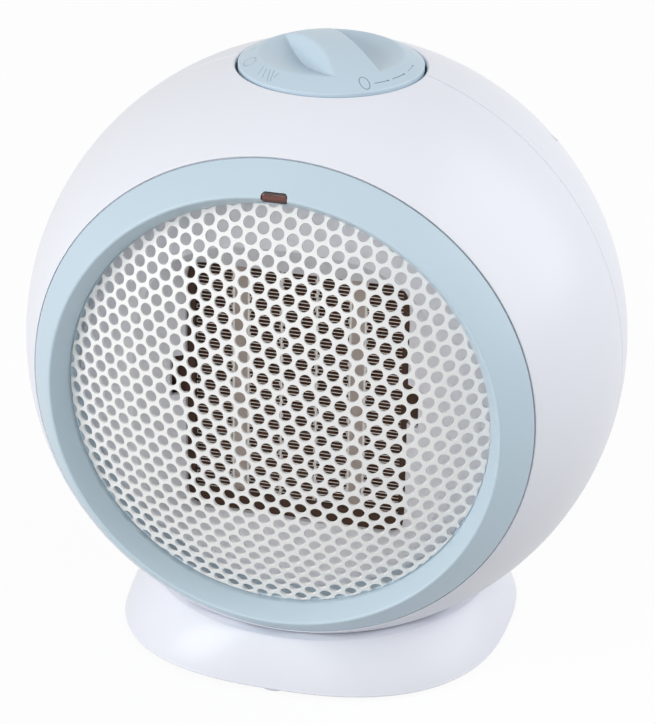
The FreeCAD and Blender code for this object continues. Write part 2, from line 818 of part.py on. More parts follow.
def make_heating_core():
    """Ceramic bars between electrode plates, with folded fins between the plates, in a dark frame."""
    middle = -p.window_drop
    frame = body("heater_frame")
    face = sketch_on(frame, "frame_face", "XZ_Plane", CORE_BACK)
    outline(face, rectangle(0, middle, FRAME_WIDTH, FRAME_HEIGHT))
    outline(face, rectangle(0, middle, p.core_width, p.core_height))
    extrude(frame, "frame_block", face, p.frame_depth)
    depth = p.frame_depth - 2 * p.core_inset
    core_y = p.core_inset + depth / 2 - CORE_FRONT
    foot = middle - p.core_height / 2
    bars = [
        box(f"ceramic_bar_{k}", p.bar_width, depth, p.core_height, side * p.bar_offset, core_y, foot)
        for k, side in enumerate((-1, 1))
    ]
    plate_offset = p.bar_width / 2 + p.plate_sheet / 2
    places = [side * p.bar_offset + flank * plate_offset for side in (-1, 1) for flank in (-1, 1)]
    plates = [
        box(f"electrode_plate_{k}", p.plate_sheet, depth, p.core_height, x, core_y, foot)
        for k, x in enumerate(places)
    ]
    dividers = [
        box(f"fin_divider_{k}", p.plate_sheet, depth, p.core_height, side * p.divider_offset, core_y, foot)
        for k, side in enumerate((-1, 1))
    ]
    play = p.fin_play.value
    divider_half = p.plate_sheet.value / 2 + play
    divider_at = p.divider_offset.value
    between = divider_at - divider_half
    inner = (divider_at + divider_half, PLATE_FACE.value - play)
    outer_face = p.bar_offset.value + p.bar_width.value / 2 + p.plate_sheet.value
    outer = (outer_face + play, p.core_width.value / 2 - play)
    spans = [(-between, between)]
    for near, far in (inner, outer):
        spans += [(near, far), (-far, -near)]
    fins = doc.addObject("Part::Feature", "fins")
    fins.Shape = Part.makeCompound([fin_strip(left, right) for left, right in spans])
    return [
        node(frame, "heater_frame"),
        node(group("ceramic_bar_pair", bars), "ceramic_bars"),
        node(group("electrode_plate_set", plates), "electrode_plates"),
        node(group("fin_divider_pair", dividers), "fin_dividers"),
        node(fins, "heater_fins"),
    ]


def make_thermal_cutout():
    """Bimetal disc switch standing on top of the core's frame, with two blade terminals."""
    foot = FRAME_HEIGHT / 2 - p.window_drop
    y = p.frame_depth / 2 - CORE_FRONT
    x = p.cutout_offset
    flange = rod("cutout_flange_disc", p.cutout_flange, p.cutout_flange_sheet, x, y, foot)
    cap = rod("cutout_cap", p.cutout_radius, p.cutout_height, x, y, foot)
    top = foot + p.cutout_height
    blades = [
        box(
            f"cutout_blade_{k}",
            p.blade_sheet,
            p.blade_width,
            p.blade_length,
            x + side * p.cutout_radius / 2,
            y,
            top - p.blade_sheet,
        )
        for k, side in enumerate((-1, 1))
    ]
    return node(joined("cutout_body", [flange, cap, *blades]), "thermal_cutout")


def make_fan_shroud():
    """Round duct behind the core, its flange screwed to the baffle's posts."""
    shroud = body("fan_shroud")
    outside = p.shroud_bore + p.shroud_wall
    revolve(
        shroud,
        "shroud_section",
        "XY_Plane",
        [
            (p.shroud_bore, -CORE_BACK),
            (p.shroud_flange_radius, -CORE_BACK),
            (p.shroud_flange_radius, -SHROUD_FLANGE_BACK),
            (outside, -SHROUD_FLANGE_BACK),
            (outside, -SHROUD_BACK),
            (p.shroud_bore, -SHROUD_BACK),
        ],
    )
    spots = four(POST_OFFSET, p.post_height)
    hole = circles(
        shroud, "shroud_hole", "XZ_Plane", SHROUD_FLANGE_BACK, spots, p.screw_radius + p.screw_pass
    )
    extrude(shroud, "shroud_holes", hole, p.shroud_wall, "Pocket", reverse=True)
    return node(shroud, "fan_shroud")


def make_motor_bracket():
    """Ring on the duct's back edge with four arms that carry the motor's cup."""
    bracket = body("motor_bracket")
    cup_bore = p.motor_radius + p.motor_play
    cup_outside = cup_bore + p.bracket_cup_wall
    outside = p.shroud_bore + p.shroud_wall
    rim = circles(bracket, "bracket_rim_face", "XZ_Plane", BRACKET_BACK, [(0, 0)], outside)
    circle(rim, 0, 0, p.shroud_bore - p.shroud_wall)
    extrude(bracket, "bracket_rim", rim, p.bracket_sheet)
    arm = sketch_on(bracket, "bracket_arm_face", "XZ_Plane", BRACKET_BACK)
    arm_length = p.shroud_bore - p.motor_radius
    outline(arm, rectangle(0, p.motor_radius + arm_length / 2, p.bracket_arm, arm_length))
    arm_pad = extrude(bracket, "bracket_arm_pad", arm, p.bracket_sheet)
    pattern(bracket, "bracket_arms", [arm_pad], arm, 4)
    cup = circles(bracket, "bracket_cup_face", "XZ_Plane", SHROUD_BACK, [(0, 0)], cup_outside)
    extrude(bracket, "bracket_cup", cup, p.bracket_cup_length, reverse=True)
    bore = circles(bracket, "bracket_bore_face", "XZ_Plane", SHROUD_BACK, [(0, 0)], cup_bore)
    extrude(bracket, "bracket_bore", bore, p.bracket_cup_length, "Pocket")
    return node(bracket, "motor_bracket")


def make_motor():
    """Motor can with a bearing boss at each end, its two plain bushes and its shaft."""
    can = body("motor_can")
    front_tip = MOTOR_FRONT + p.motor_boss_length
    back_tip = MOTOR_BACK - p.motor_boss_length
    revolve(
        can,
        "motor_section",
        "XY_Plane",
        [
            (p.bush_radius, -front_tip),
            (p.motor_boss_radius, -front_tip),
            (p.motor_boss_radius, -MOTOR_FRONT),
            (p.motor_radius, -MOTOR_FRONT),
            (p.motor_radius, -MOTOR_BACK),
            (p.motor_boss_radius, -MOTOR_BACK),
            (p.motor_boss_radius, -back_tip),
            (p.bush_radius, -back_tip),
        ],
    )
    bush_outside = p.bush_radius - p.bush_press
    bush_bore = p.shaft_radius + p.shaft_play
    bushes = []
    for name, back in (("front", front_tip - p.bush_length), ("rear", back_tip)):
        bush = body(f"{name}_bush")
        face = circles(bush, f"{name}_bush_face", "XZ_Plane", back, [(0, 0)], bush_outside)
        circle(face, 0, 0, bush_bore)
        extrude(bush, f"{name}_bush_ring", face, p.bush_length)
        bushes.append(bush)
    shaft = body("motor_shaft")
    shaft_back = back_tip - p.shaft_tail
    face = circles(shaft, "shaft_face", "XZ_Plane", shaft_back, [(0, 0)], p.shaft_radius)
    extrude(shaft, "shaft_rod", face, FAN_FRONT - p.hub_wall - shaft_back)
    return [
        node(can, "motor_can"),
        node(group("motor_bush_pair", bushes), "motor_bushes"),
        node(shaft, "motor_shaft"),
    ]


def blade_section(radius, chord, pitch_angle, middle_y):
    """Cambered section of a fan blade, across a radius that points along +Z."""
    along = FreeCAD.Vector(math.cos(pitch_angle), math.sin(pitch_angle), 0)
    across = FreeCAD.Vector(-along.y, along.x, 0)
    origin = FreeCAD.Vector(0, middle_y, radius)
    half = chord / 2
    half_sheet = p.fan_blade_sheet.value / 2
    camber = p.blade_camber.value

    def spot(u, v):
        return origin + along * u + across * v

    upper = Part.Arc(spot(-half, half_sheet), spot(0, camber + half_sheet), spot(half, half_sheet))
    lower = Part.Arc(spot(half, -half_sheet), spot(0, camber - half_sheet), spot(-half, -half_sheet))
    nose = Part.LineSegment(spot(half, half_sheet), spot(half, -half_sheet))
    tail = Part.LineSegment(spot(-half, -half_sheet), spot(-half, half_sheet))
    return Part.Wire([upper.toShape(), nose.toShape(), lower.toShape(), tail.toShape()])


def make_fan():
    """Axial fan: a cup-shaped hub with a shaft sleeve and twisted, cambered blades."""
    hub = body("fan_hub")
    sleeve = 2 * p.shaft_radius
    bore = p.shaft_radius + p.bush_press
    web = FAN_FRONT - p.hub_wall
    revolve(
        hub,
        "hub_section",
        "XY_Plane",
        [
            (0, -FAN_FRONT),
            (p.hub_radius, -FAN_FRONT),
            (p.hub_radius, -FAN_BACK),
            (p.hub_radius - p.hub_wall, -FAN_BACK),
            (p.hub_radius - p.hub_wall, -web),
            (sleeve, -web),
            (sleeve, -FAN_BACK),
            (bore, -FAN_BACK),
            (bore, -web),
            (0, -web),
        ],
    )
    tip_radius = p.shroud_bore.value - p.fan_tip_play.value
    root_radius = p.hub_radius.value - p.hub_wall.value / 2
    middle_y = -(FAN_FRONT.value + FAN_BACK.value) / 2
    stations = 3
    sections = []
    for k in range(stations):
        share = k / (stations - 1)
        radius = root_radius + share * (tip_radius - root_radius)
        chord = (1 - share) * p.blade_root_chord.value + share * p.blade_tip_chord.value
        pitch_angle = (1 - share) * p.blade_root_pitch.value + share * p.blade_tip_pitch.value
        sections.append(blade_section(radius, chord, math.radians(pitch_angle), middle_y))
    blade = Part.makeLoft(sections, True, False)
    count = int(p.fan_blade_count.value)
    blades = doc.addObject("Part::Feature", "fan_blades")
    copies = []
    for k in range(count):
        copy = blade.copy()
        copy.rotate(FreeCAD.Vector(), FreeCAD.Vector(0, 1, 0), 360 * k / count)
        copies.append(copy)
    blades.Shape = Part.makeCompound(copies)
    core = bind(
        doc.addObject("Part::Cylinder", "hub_core"),
        Radius=p.hub_radius - p.hub_wall / 4,
        Height=2 * p.ball_radius,
    )
    turn(core, FreeCAD.Vector(1, 0, 0), as_size(90))
    at(core, 0, p.ball_radius, 0)
    trimmed = cut("fan_blades_trimmed", blades, core)
    return node(joined("fan_wheel", [hub, trimmed]), "fan_impeller")


def make_knob():
    """Domed knob with a grip bar across a dished recess, on a D-shaped spindle."""
    knob = body("control_knob")
    ceiling = KNOB_RIM - p.knob_wall / 2
    skirt_foot = KNOB_RIM - p.knob_skirt
    skirt_inside = p.knob_radius - p.knob_wall
    grip = p.grip_width / 2
    revolve(
        knob,
        "knob_section",
        "XZ_Plane",
        [
            (0, KNOB_HUB_FOOT),
            (p.knob_hub_radius, KNOB_HUB_FOOT),
            (p.knob_hub_radius, ceiling),
            (skirt_inside, ceiling),
            (skirt_inside, skirt_foot),
            (p.knob_radius, skirt_foot),
            (p.knob_radius, KNOB_RIM, p.knob_crown_radius),
            (p.scoop_radius, SCOOP_RIM),
            (grip + p.grip_draft, SCOOP_FOOT),
            (0, SCOOP_FOOT),
        ],
    )
    bar = sketch_on(knob, "grip_face", "XZ_Plane", None)
    outline(
        bar,
        [
            (-grip, KNOB_TOP),
            (-grip - p.grip_draft, SCOOP_FOOT),
            (-grip - p.grip_draft, ceiling),
            (grip + p.grip_draft, ceiling),
            (grip + p.grip_draft, SCOOP_FOOT),
            (grip, KNOB_TOP),
        ],
    )
    extrude(knob, "grip_bar", bar, 2 * p.scoop_radius, both=True)
    far = 2 * p.knob_radius
    revolve(
        knob,
        "crown_trim",
        "XZ_Plane",
        [
            (p.knob_radius, KNOB_RIM, p.knob_crown_radius),
            (0, KNOB_TOP),
            (0, KNOB_TOP + far),
            (far, KNOB_TOP + far),
            (far, KNOB_RIM),
        ],
        "Groove",
    )
    socket_depth = p.spindle_grip + p.seat_gap
    socket = sketch_on(knob, "socket_face", "XY_Plane", KNOB_HUB_FOOT)
    spindle_outline(socket, p.spindle_play)
    extrude(knob, "spindle_socket", socket, socket_depth, "Pocket", reverse=True)
    spindle = body("switch_spindle")
    stem = circles(spindle, "stem_face", "XY_Plane", SPINDLE_FOOT, [(0, 0)], p.spindle_radius)
    extrude(spindle, "stem", stem, SWITCH_BUSH_TOP - SPINDLE_FOOT)
    tang = sketch_on(spindle, "tang_face", "XY_Plane", SWITCH_BUSH_TOP)
    spindle_outline(tang, as_size(0))
    extrude(spindle, "tang", tang, SPINDLE_TOP - SWITCH_BUSH_TOP)
    for item in (knob, spindle):
        turn(item, FreeCAD.Vector(0, 0, 1), p.knob_turn)
    return [node(knob, "control_knob"), node(spindle, "switch_spindle")]


def spindle_outline(sketch, play):
    """D-shaped section of the spindle, enlarged by a play for its socket."""
    radius = p.spindle_radius + play
    flat = p.spindle_flat + play
    width = half_chord(radius, flat)
    outline(
        sketch,
        [(flat, width, radius), (0, radius, radius), (-radius, 0, radius), (0, -radius, radius), (flat, -width)],
    )


def make_knob_well():
    """Dish under the knob, clamped against the inside of the ball."""
    well = body("knob_well")
    top = half_chord(BALL_INSIDE - p.seat_gap, WELL_OUTSIDE)
    bore = p.switch_bush_radius + p.spindle_play
    revolve(
        well,
        "well_section",
        "XZ_Plane",
        [
            (bore, SWITCH_TOP),
            (WELL_OUTSIDE, SWITCH_TOP),
            (WELL_OUTSIDE, top),
            (WELL_BORE, top),
            (WELL_BORE, WELL_FLOOR),
            (bore, WELL_FLOOR),
        ],
    )
    return node(well, "knob_well")


def make_rotary_switch():
    """Rotary switch hung under the well by its bush, with blade terminals below."""
    switch = body("rotary_switch")
    face = sketch_on(switch, "switch_face", "XY_Plane", SWITCH_TOP - p.switch_height)
    outline(face, rounded(as_size(0), as_size(0), p.switch_width, p.switch_depth, p.switch_corner))
    extrude(switch, "switch_block", face, p.switch_height)
    neck = circles(switch, "neck_face", "XY_Plane", SWITCH_TOP, [(0, 0)], p.switch_bush_radius)
    extrude(switch, "switch_neck", neck, SWITCH_BUSH_TOP - SWITCH_TOP)
    bore_radius = p.spindle_radius + p.spindle_play
    bore = circles(switch, "bore_face", "XY_Plane", SPINDLE_FOOT - p.seat_gap, [(0, 0)], bore_radius)
    extrude(switch, "spindle_bore", bore, p.switch_height, "Pocket", reverse=True)
    blades = sketch_on(switch, "switch_blades_face", "XY_Plane", SWITCH_TOP - p.switch_height)
    for place in (-1, 0, 1):
        outline(blades, rectangle(place * p.switch_width / 3, 0, p.blade_sheet, p.blade_width))
    extrude(switch, "switch_blades", blades, p.blade_length, reverse=True)
    return node(switch, "rotary_switch")


def oval_loft(name, inset, foot, top):
    """Oval with a bulging flank, through three ellipses; foot and top are depths below the ball's centre."""
    waist = BASE_DROP - p.base_waist_height
    levels = (
        (foot, BASE_SOLE_WIDTH),
        (waist, BASE_LIP_WIDTH + p.base_bulge),
        (top, BASE_LIP_WIDTH),
    )
    rings = []
    for k, (drop, width) in enumerate(levels):
        ring = doc.addObject("Part::Ellipse", f"{name}_{k}")
        bind(ring, MajorRadius=width - inset, MinorRadius=width - p.base_ovality - inset)
        rings.append(at(ring, 0, -p.base_centre_reach, -drop))
    return bind(doc.addObject("Part::Loft", name), Sections=rings, Solid=True, Ruled=False)


def make_base():
    """Oval base: a hollow shell with a spherical saddle, its cover, feet and screws."""
    outer = oval_loft("base_outside", as_size(0), BASE_DROP, BASE_LIP)
    inner = oval_loft("base_inside", p.base_wall, BASE_DROP, BASE_LIP)
    hollow = cut("base_hollow", inner, ball("saddle_back", BASE_SADDLE))
    spots = four(p.base_screw_x, p.base_screw_y)
    post_height = BASE_PLATE_TOP - BASE_BOSS_TOP
    posts = [
        rod(f"base_post_{k}", p.base_boss_radius, post_height, x, y, -BASE_PLATE_TOP)
        for k, (x, y) in enumerate(spots)
    ]
    passing = p.screw_radius + p.screw_pass
    holes = [
        rod(f"base_post_hole_{k}", passing, BASE_DROP, x, y, -BASE_DROP)
        for k, (x, y) in enumerate(spots)
    ]
    middle = rod("base_middle_hole", p.base_bore, BASE_DROP, 0, 0, -BASE_DROP)
    walls = joined("base_walls", [cut("base_skin", outer, hollow), *posts])
    saddle = joined("base_saddle", [ball("saddle_face", BASE_BALL), middle, *holes])
    shell = node(cut("base_shell_cut", walls, saddle), "base_shell")

    edge = doc.addObject("Part::Ellipse", "base_plate_edge")
    plate_inset = p.base_wall + p.base_plate_play
    plate_width = BASE_SOLE_WIDTH - plate_inset
    bind(edge, MajorRadius=plate_width, MinorRadius=plate_width - p.base_ovality)
    at(edge, 0, -p.base_centre_reach, -BASE_DROP)
    blank = doc.addObject("Part::Extrusion", "base_plate_blank")
    bind(blank, Base=edge, DirMode="Normal", Solid=True, LengthFwd=p.base_plate_sheet)
    head_pass = p.screw_head_radius + p.screw_head_play
    feet_x = BASE_SOLE_WIDTH - p.foot_inset
    feet_y = feet_x - p.base_ovality
    places = [(sx * feet_x, sy * feet_y - p.base_centre_reach) for sx, sy in ((1, 0), (0, 1), (-1, 0), (0, -1))]
    stem_hole = p.foot_stem_radius + p.foot_play
    tools = [
        rod(f"plate_hole_{k}", passing, p.base_plate_sheet, x, y, -BASE_DROP)
        for k, (x, y) in enumerate(spots)
    ]
    tools += [
        rod(f"plate_counterbore_{k}", head_pass, p.counterbore, x, y, -BASE_DROP)
        for k, (x, y) in enumerate(spots)
    ]
    tools += [
        rod(f"plate_foot_hole_{k}", stem_hole, p.base_plate_sheet, x, y, -BASE_DROP)
        for k, (x, y) in enumerate(places)
    ]
    plate = node(cut("base_plate_cut", blank, joined("base_plate_holes", tools)), "base_plate")

    feet = []
    for k, (x, y) in enumerate(places):
        pad = rod(f"foot_pad_{k}", p.foot_radius, p.foot_height, x, y, -BALL_Z)
        stem = rod(f"foot_stem_{k}", p.foot_stem_radius, p.foot_stem + p.foot_height, x, y, -BALL_Z)
        feet.append(joined(f"foot_{k}", [pad, stem]))
    return [shell, plate, node(group("foot_set", feet), "rubber_feet")]


def screw(name, grip):
    """A pan-headed screw along +Z, with the seat of its head at its origin."""
    item = body(name)
    revolve(
        item,
        f"{name}_section",
        "XZ_Plane",
        [
            (0, -p.screw_head),
            (p.screw_head_radius - p.screw_head / 2, -p.screw_head),
            (p.screw_head_radius, -p.screw_head / 2),
            (p.screw_head_radius, 0),
            (p.screw_radius, 0),
            (p.screw_radius, grip),
            (0, grip),
        ],
    )
    return item


def make_screws():
    """Seam screws from the back, the fan duct's screws, and the base screws from below."""
    forward = FreeCAD.Vector(1, 0, 0)
    seam = []
    for k, (x, z) in enumerate(four(SEAM_BOSS, SEAM_BOSS)):
        item = screw(f"seam_screw_{k}", p.seam_screw_seat + p.seam_screw_grip)
        turn(item, forward, as_size(90))
        seam.append(at(item, x, p.seam_screw_seat, z))
    duct = []
    for k, (x, z) in enumerate(four(POST_OFFSET, p.post_height)):
        item = screw(f"duct_screw_{k}", p.shroud_wall + p.post_screw_grip)
        turn(item, forward, as_size(90))
        duct.append(at(item, x, -SHROUD_FLANGE_BACK, z))
    base = []
    length = COUNTERBORE_TOP - BASE_BOSS_TOP - p.base_wall - p.screw_head
    for k, (x, y) in enumerate(four(p.base_screw_x, p.base_screw_y)):
        item = screw(f"base_screw_{k}", length)
        base.append(at(item, x, y, -COUNTERBORE_TOP))
    return [
        node(group("seam_screw_set", seam), "shell_screws"),
        node(group("duct_screw_set", duct), "shroud_screws"),
        node(group("base_screw_set", base), "base_screws"),
    ]


def make_cable_gland():
    """Cord inlet: a flanged grommet snapped into the rear shell, square to the ball's surface."""
    gland = body("cable_gland")
    inside = BALL_INSIDE - p.seat_gap
    outside = p.ball_radius
    lock = p.gland_stem_radius + 4 * p.gland_play
    revolve(
        gland,
        "gland_section",
        "XZ_Plane",
        [
            (p.gland_sleeve, inside - p.gland_flange),
            (p.gland_stem_radius, inside - p.gland_flange),
            (lock, inside),
            (p.gland_stem_radius, inside),
            (p.gland_stem_radius, outside),
            (p.gland_flange_radius, outside),
            (p.gland_flange_radius, outside + p.gland_flange),
            (p.gland_stem_radius, outside + p.gland_flange),
            (p.gland_stem_radius - p.gland_play, outside + p.gland_collar),
            (p.gland_bore, outside + p.gland_collar),
            (p.gland_bore, outside + p.gland_play),
            (p.gland_sleeve, outside + p.gland_play),
        ],
    )
    turn(gland, FreeCAD.Vector(-1, 0, 0), p.gland_angle + 90)
    return node(gland, "cable_gland")


make_front_shell()
make_rear_shell()
make_bezel_ring()
make_front_grille()
make_pilot_light()
make_front_baffle()
make_heating_core()
make_thermal_cutout()
make_fan_shroud()
make_motor_bracket()
make_motor()
make_fan()
make_knob()
make_knob_well()
make_rotary_switch()
make_base()
make_screws()
make_cable_gland()
doc.recompute()

for item in doc.Objects:
    if "Invalid" in item.State or "Error" in item.State:
        raise RuntimeError(f"{item.Name} ({item.Label}) failed: {item.State}")
for item in NODES:
    if item.Shape.isNull() or not item.Shape.isValid():
        raise RuntimeError(f"{item.Label} has no valid shape")

os.makedirs("parts", exist_ok=True)
for item in NODES:
    item.Shape.exportStep(os.path.join("parts", f"{item.Label}.step"))
    print(item.Label, len(item.Shape.Solids), round(item.Shape.Volume, 1))
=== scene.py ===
import math
import bmesh
import bpy
import numpy as np
from mathutils import Matrix, Vector


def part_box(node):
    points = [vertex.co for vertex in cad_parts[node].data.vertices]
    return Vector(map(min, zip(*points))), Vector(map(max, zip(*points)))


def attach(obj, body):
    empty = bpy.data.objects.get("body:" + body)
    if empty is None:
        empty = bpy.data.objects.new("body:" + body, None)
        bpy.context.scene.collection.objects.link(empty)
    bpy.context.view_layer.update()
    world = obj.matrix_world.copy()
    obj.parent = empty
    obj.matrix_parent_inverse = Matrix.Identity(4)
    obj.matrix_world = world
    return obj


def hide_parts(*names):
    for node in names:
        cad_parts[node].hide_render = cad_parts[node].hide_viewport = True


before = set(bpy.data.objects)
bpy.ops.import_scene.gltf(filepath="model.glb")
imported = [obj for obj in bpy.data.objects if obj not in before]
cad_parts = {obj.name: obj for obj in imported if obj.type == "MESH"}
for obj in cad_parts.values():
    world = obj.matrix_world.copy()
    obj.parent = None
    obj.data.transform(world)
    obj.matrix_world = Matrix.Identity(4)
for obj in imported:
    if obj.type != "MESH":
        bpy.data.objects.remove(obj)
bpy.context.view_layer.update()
scene = bpy.context.scene
scene.view_settings.view_transform = "Standard"
millimetre = 0.001
ballRadius = 115.0
ballHeight = 118.0
ballCentre = Vector((0.0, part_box("rear_shell")[0][1] / millimetre, ballHeight))  # in the frame, mm
ballMiddle = ballCentre * millimetre
fourWays = ((1, 1), (-1, 1), (-1, -1), (1, -1))


def paint(red, green, blue):  # a colour as it is seen, to what the shader takes
    steps = [value / 255 for value in (red, green, blue)]
    return tuple(s / 12.92 if s <= 0.04045 else ((s + 0.055) / 1.055) ** 2.4 for s in steps) + (1.0,)


def inFrame(points):  # mm about the ball's middle to metres in the frame
    return (np.asarray(points, float) + np.array(ballCentre)) * millimetre


def placed(name, points, faces):  # a new object from points in metres
    mesh = bpy.data.meshes.new(name)
    mesh.from_pydata(np.asarray(points, float).tolist(), [], faces)
    piece = bpy.data.objects.new(name, mesh)
    scene.collection.objects.link(piece)
    tidyMesh(piece)
    return piece


def meshPiece(name, points, faces):
    return placed(name, inFrame(points), faces)


def tidyMesh(piece, gap=2e-6):  # merge doubles and point the faces outwards
    work = bmesh.new()
    work.from_mesh(piece.data)
    bmesh.ops.remove_doubles(work, verts=work.verts, dist=gap)
    bmesh.ops.recalc_face_normals(work, faces=work.faces)
    work.to_mesh(piece.data)
    work.free()


def soften(piece, angle=32):
    piece.data.shade_smooth()
    piece.data.set_sharp_from_angle(angle=math.radians(angle))


def handIn(piece, body, slotName, *nodes, finish=None):
    if finish is not None:
        piece.data.materials.clear()
        piece.data.materials.append(finish)
    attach(piece, body)
    if nodes:
        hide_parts(*nodes)


def arc(centre, radius, start, finish, steps):  # points on a circle, angles in degrees
    turns = np.radians(np.linspace(start, finish, steps + 1))
    return [(centre[0] + radius * math.cos(t), centre[1] + radius * math.sin(t)) for t in turns]


def rounded(corners, steps=5):  # corners are (x, y, fillet radius)
    path = []
    count = len(corners)
    for k, (x, y, radius) in enumerate(corners):
        here = Vector((x, y))
        if radius <= 0:
            path.append((x, y))
            continue
        toBack = (Vector(corners[k - 1][:2]) - here).normalized()
        toNext = (Vector(corners[(k + 1) % count][:2]) - here).normalized()
        half = toBack.angle(toNext) / 2
        middle = here + (toBack + toNext).normalized() * (radius / math.sin(half))
        first = here + toBack * (radius / math.tan(half)) - middle
        last = here + toNext * (radius / math.tan(half)) - middle
        sweep = first.angle_signed(last)
        for j in range(steps + 1):
            spoke = first.copy()
            spoke.rotate(Matrix.Rotation(-sweep * j / steps, 2))
            path.append(tuple(middle + spoke))
    return path


def band(low, high, size):  # faces between two loops of points, given by their first numbers
    return [[low + j, low + (j + 1) % size, high + (j + 1) % size, high + j] for j in range(size)]


def lathe(profile, steps, axis="Y", closed=True):  # profile is (radius, height along the axis)
    points, faces, rings = [], [], []
    for radius, height in profile:
        start = len(points)
        if radius < 1e-6:
            points.append((0, -height, 0) if axis == "Y" else (0, 0, height))
            rings.append([start] * steps)
            continue
        for k in range(steps):
            a = 2 * math.pi * k / steps
            c, s = radius * math.cos(a), radius * math.sin(a)
            points.append((c, -height, s) if axis == "Y" else (c, s, height))
        rings.append(list(range(start, start + steps)))
    pairs = list(zip(rings, rings[1:]))
    if closed:
        pairs.append((rings[-1], rings[0]))
    for low, high in pairs:
        for k in range(steps):
            corner = [low[k], low[(k + 1) % steps], high[(k + 1) % steps], high[k]]
            face = list(dict.fromkeys(corner))
            if len(face) > 2:
                faces.append(face)
    return np.array(points, float), faces


def spindle(name, profile, steps=96):  # a turned solid about the upright axis
    return meshPiece(name, *lathe(profile, steps, "Z", closed=False))


def plug(radius, low, high):  # the outline of a round rod, from its axis and back
    return [(0, low), (radius, low), (radius, high), (0, high)]


def block(name, face, back, front):  # an outline in x and z, drawn from one reach to another
    count = len(face)
    points = [(x, -back, z) for x, z in face] + [(x, -front, z) for x, z in face]
    faces = [list(range(count)), list(range(count, 2 * count))] + band(0, count, count)
    return meshPiece(name, points, faces)


def settle(piece):  # makes the modifiers' result the piece's own mesh
    deps = bpy.context.evaluated_depsgraph_get()
    mesh = bpy.data.meshes.new_from_object(piece.evaluated_get(deps))
    piece.modifiers.clear()
    piece.data = mesh
    return piece


def carve(piece, tool, way="DIFFERENCE"):
    step = piece.modifiers.new("carve", "BOOLEAN")
    step.operation = way
    step.solver = "EXACT"
    step.object = tool
    settle(piece)
    bpy.data.objects.remove(tool)
    tidyMesh(piece)


def ballNormals(piece, slack=2e-5):  # true sphere shading, whatever the cuts did to the faces
    mesh = piece.data
    turned = [Vector(corner.vector) for corner in mesh.corner_normals]
    for poly in mesh.polygons:
        for k in poly.loop_indices:
            spoke = mesh.vertices[mesh.loops[k].vertex_index].co - ballMiddle
            onBall = abs(spoke.length - ballRadius * millimetre) < slack
            if onBall and poly.normal.dot(spoke.normalized()) > 0.97:
                turned[k] = spoke.normalized()
    mesh.normals_split_custom_set(turned)


def add(tree, kind, inputs=(), **settings):  # a node with its settings, values and links
    item = tree.nodes.new(kind)
    for label, value in settings.items():
        setattr(item, label, value)
    for label, value in dict(inputs).items():
        if isinstance(value, bpy.types.NodeSocket):
            tree.links.new(value, item.inputs[label])
        else:
            item.inputs[label].default_value = value
    return item


def calc(tree, work, *terms):  # one step of arithmetic on sockets and numbers
    return add(tree, "ShaderNodeMath", dict(enumerate(terms)), operation=work).outputs[0]


def mapped(tree, value, low, high, toLow=0.0, toHigh=1.0):  # one range onto another
    span = {"Value": value, "From Min": low, "From Max": high, "To Min": toLow, "To Max": toHigh}
    return add(tree, "ShaderNodeMapRange", span).outputs["Result"]


def mixed(tree, factor, first, second):  # one colour into another
    return add(tree, "ShaderNodeMix", {"Factor": factor, 6: first, 7: second}, data_type="RGBA").outputs[2]


def noise(tree, scale, detail, roughness=0.5):  # fixed to the piece
    where = add(tree, "ShaderNodeTexCoord")
    return add(tree, "ShaderNodeTexNoise", {
        "Vector": where.outputs["Object"], "Scale": scale, "Detail": detail,
        "Roughness": roughness}).outputs["Fac"]


def newGroup(name, inputs, outputs):  # a shader group with plain numbers in and out
    tree = bpy.data.node_groups.new(name, "ShaderNodeTree")
    for label, value in inputs.items():
        socket = tree.interface.new_socket(label, in_out="INPUT", socket_type="NodeSocketFloat")
        socket.default_value = value
    for label in outputs:
        tree.interface.new_socket(label, in_out="OUTPUT", socket_type="NodeSocketFloat")
    return tree, tree.nodes.new("NodeGroupInput").outputs, tree.nodes.new("NodeGroupOutput").inputs


def buildMouldGrain():  # orange peel of a moulding, with a slow drift of gloss
    tree, given, result = newGroup("mouldGrain", {"Scale": 900.0, "Drift Scale": 22.0}, ["Height", "Drift"])
    tree.links.new(noise(tree, given["Scale"], 2.0, 0.55), result["Height"])
    tree.links.new(noise(tree, given["Drift Scale"], 3.0), result["Drift"])
    return tree


def buildEdgeRub():  # rubbed edges, broken up by noise
    settings = {"Level": 0.51, "Spread": 0.06, "Break Scale": 180.0}
    tree, given, result = newGroup("edgeRub", settings, ["Mask"])
    shape = add(tree, "ShaderNodeNewGeometry")
    high = calc(tree, "ADD", given["Level"], given["Spread"])
    edge = mapped(tree, shape.outputs["Pointiness"], given["Level"], high)
    chips = noise(tree, given["Break Scale"], 4.0)
    tree.links.new(calc(tree, "MULTIPLY", edge, chips), result["Mask"])
    return tree


def buildDustFilm():  # dust that lies on what faces up
    tree, given, result = newGroup("dustFilm", {"Amount": 0.06, "Scale": 60.0}, ["Mask"])
    shape = add(tree, "ShaderNodeNewGeometry")
    parts = add(tree, "ShaderNodeSeparateXYZ", {"Vector": shape.outputs["Normal"]})
    upward = mapped(tree, parts.outputs["Z"], 0.3, 1.0)
    lying = calc(tree, "MULTIPLY", upward, noise(tree, given["Scale"], 6.0, 0.7))
    tree.links.new(calc(tree, "MULTIPLY", lying, given["Amount"]), result["Mask"])
    return tree


mouldGrain = buildMouldGrain()
edgeRub = buildEdgeRub()
dustFilm = buildDustFilm()
dustGrey = paint(205, 203, 200)
rubStrength = 0.25
bumpHeight = 0.0003


